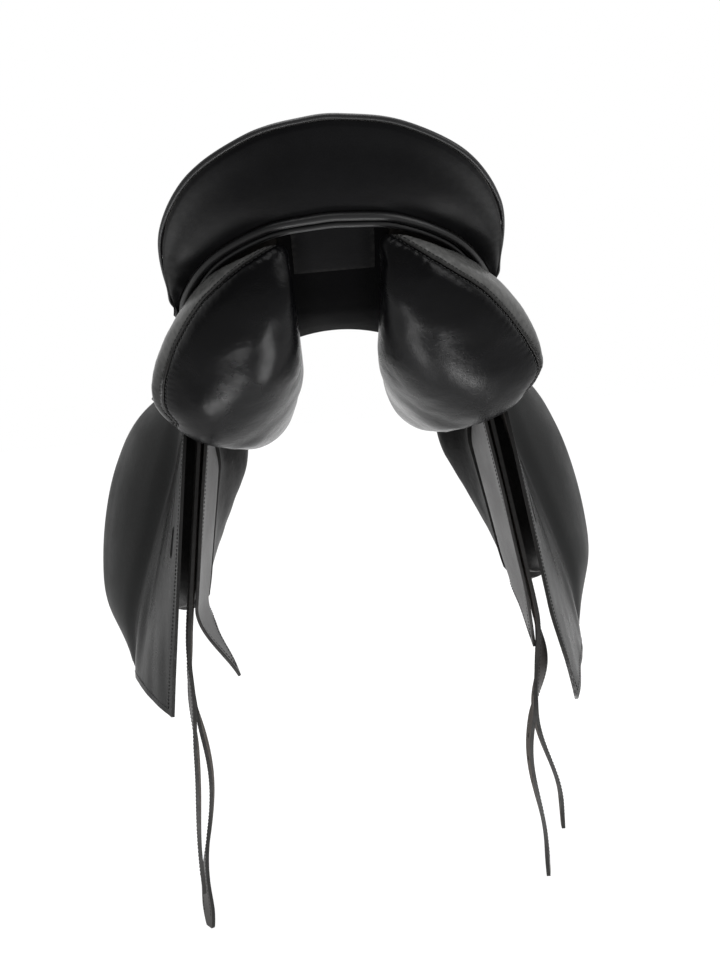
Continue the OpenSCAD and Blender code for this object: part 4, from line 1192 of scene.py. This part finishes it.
for side, word in SIDES.items():
    around = np.linspace(0, PANEL_KEYS, 130, endpoint=False)
    along = np.linspace(PANEL_START, PANEL_END, 150)
    rear = np.linspace(-88, -3, 20)
    fore = np.linspace(3, 88, 14)
    run = np.concatenate([0 * rear + PANEL_START, along, 0 * fore + PANEL_END])
    dome = np.concatenate([rear, 0 * along, fore])
    s, t = grid(run, around)
    d, t = grid(dome, around)
    points = panel_pt(side, t.ravel(), s.ravel(), d.ravel())
    skin = even_skin(points, [quads(len(run), len(around), True), end_caps(len(run), len(around))])
    points = mesh_points(skin.data)
    seam = panel_seam(side, points, mesh_normals(skin.data))
    spots, gap = nearest(point_tree(seam), points)
    fill(skin, np.flatnonzero(gap < SEAM_HELD))
    skin.modifiers.new("finer", "SUBSURF").levels = 1
    apply_modifiers(skin)
    points = mesh_points(skin.data)
    out = mesh_normals(skin.data)
    seam = smooth_line(points[nearest(point_tree(points), seam)[0]], 12)
    along, gap = nearest(point_tree(seam), points)
    gather = 0.1 + 0.3 * bump(np.linalg.norm(points - seam[0], axis=1), 40)
    pucker = gather * np.sin(along * 0.9 + 3 * lumps(points, 17, 2.2)) * bump(gap - 6, 6)
    lump = 1.1 * lumps(points, 58, 6.1 + side) + 0.4 * lumps(points, 21, 1.3 + side)
    shift = lump + pucker - SEAM_GROOVE * bump(gap, 2.6) - SEAM_DIP * bump(gap, 9)
    points = points + out * column(shift)
    corners = np.empty(len(skin.data.loops), np.int32)
    skin.data.loops.foreach_get("vertex_index", corners)
    bpy.data.objects.remove(skin)
    surface = point_tree(points)
    seam_out = unit(smooth_line(out[nearest(surface, seam)[0]], 12))
    across = unit(np.cross(np.gradient(seam, axis=0), seam_out))
    beyond = np.sum((points - seam[along]) * across[along], axis=1) * -side
    # Lighter band just outside the seam, growing towards the top: partly worn grain, and partly painted
    # light, since the band lies in shade under the welts
    edge = ramp(0.5, 3, beyond) * (1 - ramp(20, 50, gap)) * ramp(-60, 90, points[:, 2])
    panel = piece(f"panel_{word}", points, [corners.reshape(-1, 4)], [PANEL_LEATHER], "saddle",
                  [f"panel_{word}"], wear_and_sheen=edge)
    lines = []
    for way in (-1, 0, 1):
        line = seam + way * STITCH_OFF * across
        height = np.sum((points[nearest(surface, line)[0]] - line) * seam_out, axis=1)
        lines.append((line + seam_out * column(smoothed(height, 4)), seam_out))
    tube(f"panel_seam_{word}", lines[1][0], 0.9, [CUT_EDGE], "saddle")
    stitches(f"panel_stitches_{word}", lines[::2], "saddle")

# Girth straps

# Front and rear strap of each side: drop, sway and bow in millimetres, twist and tip's twist in degrees
BILLETS = {
    -1: [[590, 3, -16, 12, 30], [530, 6, -3, 16, 8]],
    1: [[518, 8, -16, 20, 6], [550, -14, -16, 34, 12]],
}
BILLET_TOP = 46
BILLET_TIP = 24
HOLE_SIDES = 24
FIRST_HOLE = 30
STITCH_SINK = 0.45
WEB_STATIONS = [6.68, 5.98]
WEB_Y = [float(base_pt(np.array(station), np.array(1.0))[1]) for station in WEB_STATIONS]
PLACES = ("front", "rear")
STRAIGHT_DOWN = [600, 0, 0]
STRAP_IN = 7.5
REAR_STRAP_IN = 13
STEEPER_Z = -240
STEEPER_OVER = 60
FREE_DROP = 296


def billet_x(i, z, b):
    """Distance of a strap from the centre line: it follows the flap, then hangs freely below it."""
    drop, sway, bow = b[:3]
    past = np.minimum(0, z - STEEPER_Z) / STEEPER_OVER
    soft = np.where(z > STEEPER_Z, z, STEEPER_Z - STEEPER_OVER * (1 - np.exp(past)))
    off = STRAP_IN if i == 0 else lerp(REAR_STRAP_IN, STRAP_IN, ramp(0, 45, z))
    t = np.clip((-FREE_DROP - z) / (drop - FREE_DROP), 0, 1)
    k = np.minimum(1, t / 0.86)
    return hang(soft) - off + sway * ramp(0, 1, k) + bow * (1 - np.cos(2 * np.pi * k)) / 2


def billet_frame(i, b, y, z):
    """Middle line of a strap, with the directions across it and through it."""
    x = billet_x(i, z, b)
    slope = (billet_x(i, z - 1, b) - billet_x(i, z + 1, b)) / 2
    way = unit(np.stack([slope, 0 * z, -np.ones_like(z)], -1))
    through_it = np.stack([-way[:, 2], 0 * z, way[:, 0]], -1)
    drop, sway, bow, twist, tip_twist = b
    turn = twist * (ramp(-262, -320, z) - ramp(-320, -378, z))
    w = np.radians(turn + tip_twist * ramp(110 - drop, 10 - drop, z))
    over = np.array([0, 1, 0])
    across = column(np.cos(w)) * over + column(np.sin(w)) * through_it
    thick = column(np.cos(w)) * through_it - column(np.sin(w)) * over
    return np.stack([x, y + 0 * z, z], -1), across, thick


for side, word in SIDES.items():
    for i, place in enumerate(PLACES):
        b = BILLETS[side][i]
        drop = b[0]
        y = WEB_Y[i]
        tip = np.radians(np.linspace(0, 82, 14))
        turn = BILLET_TIP - drop
        z = np.concatenate([np.linspace(BILLET_TOP, turn, 220), turn - BILLET_TIP * np.sin(tip[1:])])
        rounded = 0.42 + 0.58 * np.sqrt(np.clip((z + drop) / BILLET_TIP, 0, None))
        half = BILLET_W / 2 * np.minimum(1, rounded)
        middle, across, thick = billet_frame(i, b, y, z)
        over = np.linspace(-1, 1, 13)
        flat = middle[:, None] + over[:, None] * half[:, None, None] * across[:, None]
        hole = circle(HOLE_SIDES, np.array([0, 1.0, 0]), np.array([0, 0, 1.0])) * HOLE_D / 2
        shapes = []
        for k in range(HOLE_COUNT):
            low = FIRST_HOLE + k * HOLE_PITCH - drop
            x = float(billet_x(i, np.array(low, float), b))
            shapes.append(prism(hole + [0, y, low], [x - 12, 0, 0], [x + 12, 0, 0]))
        holes = np.concatenate([p for p, f in shapes])
        hole_faces = [f + 2 * HOLE_SIDES * m for m, (p, faces) in enumerate(shapes) for f in faces]
        grain = mirrored(flat + thick[:, None] * BILLET_T / 2, side)
        rough = mirrored(flat - thick[:, None] * BILLET_T / 2, side)
        name = f"billet_{place}_{word}"
        body = f"{word}_{place}_strap"
        slab(name, grain, rough, [STRAP_LEATHER, FLESH, CUT_EDGE], body, "strap_leather", [name], 0.7,
             (mirrored(holes, side), hole_faces))
        keep = z > 14 - drop
        rows = []
        for way in (-1, 1):
            for face in (-1, 1):
                high = face * BILLET_T / 2 + STITCH_SINK * (face < 0)
                line = middle + across * column(way * (half - 3.5)) + thick * high
                rows.append((mirrored(line[keep], side), mirrored(thick[keep] * face, side)))
        stitches(f"billet_stitches_{place}_{word}", rows, body, 4.0, 3.0, 0.75)

for i, place in enumerate(PLACES):
    fine = np.linspace(5, 7.6, 1000)
    wide = np.linspace(WEB_Y[i] - WEB_W / 2, WEB_Y[i] + WEB_W / 2, 9)
    stations = np.interp(wide, base_pt(fine, 0 * fine + 1)[:, 1], fine)
    drop_z = BILLET_TOP - 3
    tip = float(billet_x(i, np.array(drop_z + WEB_T / 2), STRAIGHT_DOWN)) - 0.8 * BILLET_T - LAY
    s, u = grid(stations, np.linspace(-1, 1, 61))
    faces = []
    for t in (WEB_LOW + WEB_T, WEB_LOW):
        body_part = above(s, u, t)
        ends = []
        for way, k in ((-1, 0), (1, -1)):
            end = body_part[:, k].copy()
            end[:, 0] = way * tip
            end[:, 2] = drop_z + t - WEB_LOW - WEB_T / 2
            ends.append(end[:, None])
        faces.append(np.concatenate([ends[0], body_part, ends[1]], axis=1))
    name = f"girth_web_{place}"
    slab(name, faces[0], faces[1], [WEBBING], "saddle", "webbing", [name], 0.4)

# Domed nails at the pommel

NAIL_Q = 1.35
NAIL_H = 0.7
NAIL_SIDES = 32
nail_points = []
nail_faces = []
rings = np.array([
    [0.98, 0], [1.0, 0.5], [0.95, 1.2], [0.8, 2.0], [0.55, 2.6], [0.25, 2.95], [0.05, 3.0],
])
for side in (-1, 1):
    q = np.array([side * NAIL_Q])
    out = wall_frame(1, q, 0 * q + NAIL_H)[0][0]
    spot = wall_pt(1, q, 0 * q + NAIL_H, SEAT_T + 3 * LAY)[0]
    one_way = unit(np.cross(out, [0, 0, 1.0]))
    around = circle(NAIL_SIDES, one_way, np.cross(out, one_way))
    shape = spot + rings[:, None, None, 0] * NAIL_D / 2 * around + rings[:, None, None, 1] * out
    start = NAIL_SIDES * len(rings) * len(nail_points)
    nail_points.append(shape.reshape(-1, 3))
    nail_faces += [quads(len(rings), NAIL_SIDES, True) + start, end_caps(len(rings), NAIL_SIDES) + start]
piece("saddle_nails", np.concatenate(nail_points), nail_faces, [BRIGHT], "saddle",
      ["saddle_nails"])

# Pieces whose construction is their finished shape

FINISHES = [
    (DARK_BEECH, ["cantle_board", "tree_rail_left", "tree_rail_right", "tree_head"]),
    (TREE_STEEL, ["gullet_plate", "spring_left", "spring_right"]),
    (BAR_STEEL, [
        "tree_rivets", "stirrup_bar_left", "stirrup_bar_right", "bar_catch_left", "bar_catch_right"]),
    (BRIGHT, ["catch_pins", "dee_ring_left", "dee_ring_right"]),
    (FLAP_LEATHER, ["dee_chape_left", "dee_chape_right"]),
]
for look, names in FINISHES:
    for name in names:
        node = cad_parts[name]
        node.data.materials.clear()
        node.data.materials.append(look)

# Studio: pale floor that glows as painted light, dimmer and greyer towards the camera; bright
# surroundings that are dimmer behind the camera; soft lamps

FLOOR_Z = -0.6
FLOOR_REACH = 9
FLOOR_FADE = (-0.45, -0.14)
DIM = 0.25
around = [(-1, -1), (1, -1), (1, 1), (-1, 1)]
floor_mesh = bpy.data.meshes.new("floor")
corners = [(x * FLOOR_REACH, y * FLOOR_REACH, FLOOR_Z) for x, y in around]
floor_mesh.from_pydata(corners, [], [(0, 1, 2, 3)])
floor = bpy.data.objects.new("floor", floor_mesh)
scene.collection.objects.link(floor)
# The floor glows though it is no lamp: painted light, bright beyond the saddle, and dim and greyer
# towards the camera, where the panels catch its reflection
n = Nodes("floor_glow")
tone = n.mix(n.noise(3.0), (0.48, 0.48, 0.48, 1), (0.52, 0.52, 0.52, 1))
depth = n.add("ShaderNodeSeparateXYZ", {0: n.place}).outputs["Y"]
floor_mesh.materials.append(n.finish({
    "Base Color": n.mix(n.between(depth, 1.0, 0.0, *FLOOR_FADE), tone, (0.4, 0.4, 0.4, 1)),
    "Roughness": 0.9,
    "Specular IOR Level": 0.0,
    "Emission Color": (1, 1, 1, 1),
    "Emission Strength": n.between(depth, DIM, 0.7, *FLOOR_FADE),
}))

world = bpy.data.worlds.new("studio")
world.use_nodes = True
scene.world = world
tree = world.node_tree
place = tree.nodes.new("ShaderNodeTexCoord")
parts = tree.nodes.new("ShaderNodeSeparateXYZ")
fade = tree.nodes.new("ShaderNodeMapRange")
fade.interpolation_type = "SMOOTHSTEP"
for key, value in ((1, -0.5), (2, 0.05), (3, DIM), (4, 1.0)):
    fade.inputs[key].default_value = value
tree.links.new(place.outputs["Generated"], parts.inputs[0])
tree.links.new(parts.outputs["Y"], fade.inputs[0])
tree.links.new(fade.outputs[0], tree.nodes["Background"].inputs["Color"])


def lamp(name, spot, aim, size, power):
    light = bpy.data.lights.new(name, "AREA")
    light.shape = "RECTANGLE"
    light.size, light.size_y = size
    light.energy = power
    obj = bpy.data.objects.new(name, light)
    obj.location = spot
    obj.rotation_euler = (Vector(aim) - Vector(spot)).to_track_quat("-Z", "Y").to_euler()
    obj.visible_camera = False
    scene.collection.objects.link(obj)


lamp("top_box", (0.1, -0.2, 1.5), (0, -0.1, 0.1), (1.2, 0.7), 14.0)
for side, word in SIDES.items():
    under = 0.2 * side
    lamp(f"floor_box_{word}", (under, -0.33, FLOOR_Z + 0.01), (under, -0.31, 1.0), (0.14, 0.12), 1.4)
lamp("right_box", (1.0, -1.0, 0.55), (0.1, -0.2, 0.1), (0.5, 0.8), 5.0)
lamp("high_box", (-0.15, -1.05, 1.2), (0.0, -0.2, 0.1), (0.9, 0.3), 3.0)

# Camera

YAW = math.radians(1.96)
PITCH = math.radians(6.09)
ROLL = math.radians(5.2)
EYE = (-0.0372, -1.4323, 0.0417)
forward = np.array([math.sin(YAW) * math.cos(PITCH), math.cos(YAW) * math.cos(PITCH), -math.sin(PITCH)])
right = np.array([math.cos(YAW), -math.sin(YAW), 0])
down = np.cross(forward, right)
turned_right = math.cos(ROLL) * right + math.sin(ROLL) * down
turned_down = -math.sin(ROLL) * right + math.cos(ROLL) * down
camera_data = bpy.data.cameras.new("camera")
camera_data.lens = 50.57
camera_data.sensor_width = 36
camera_data.clip_end = 100
camera = bpy.data.objects.new("camera", camera_data)
axes = np.stack([turned_right, -turned_down, -forward], -1)
camera.matrix_world = Matrix.Translation(EYE) @ Matrix(axes.tolist()).to_4x4()
scene.collection.objects.link(camera)
scene.camera = camera
scene.view_settings.view_transform = "Standard"
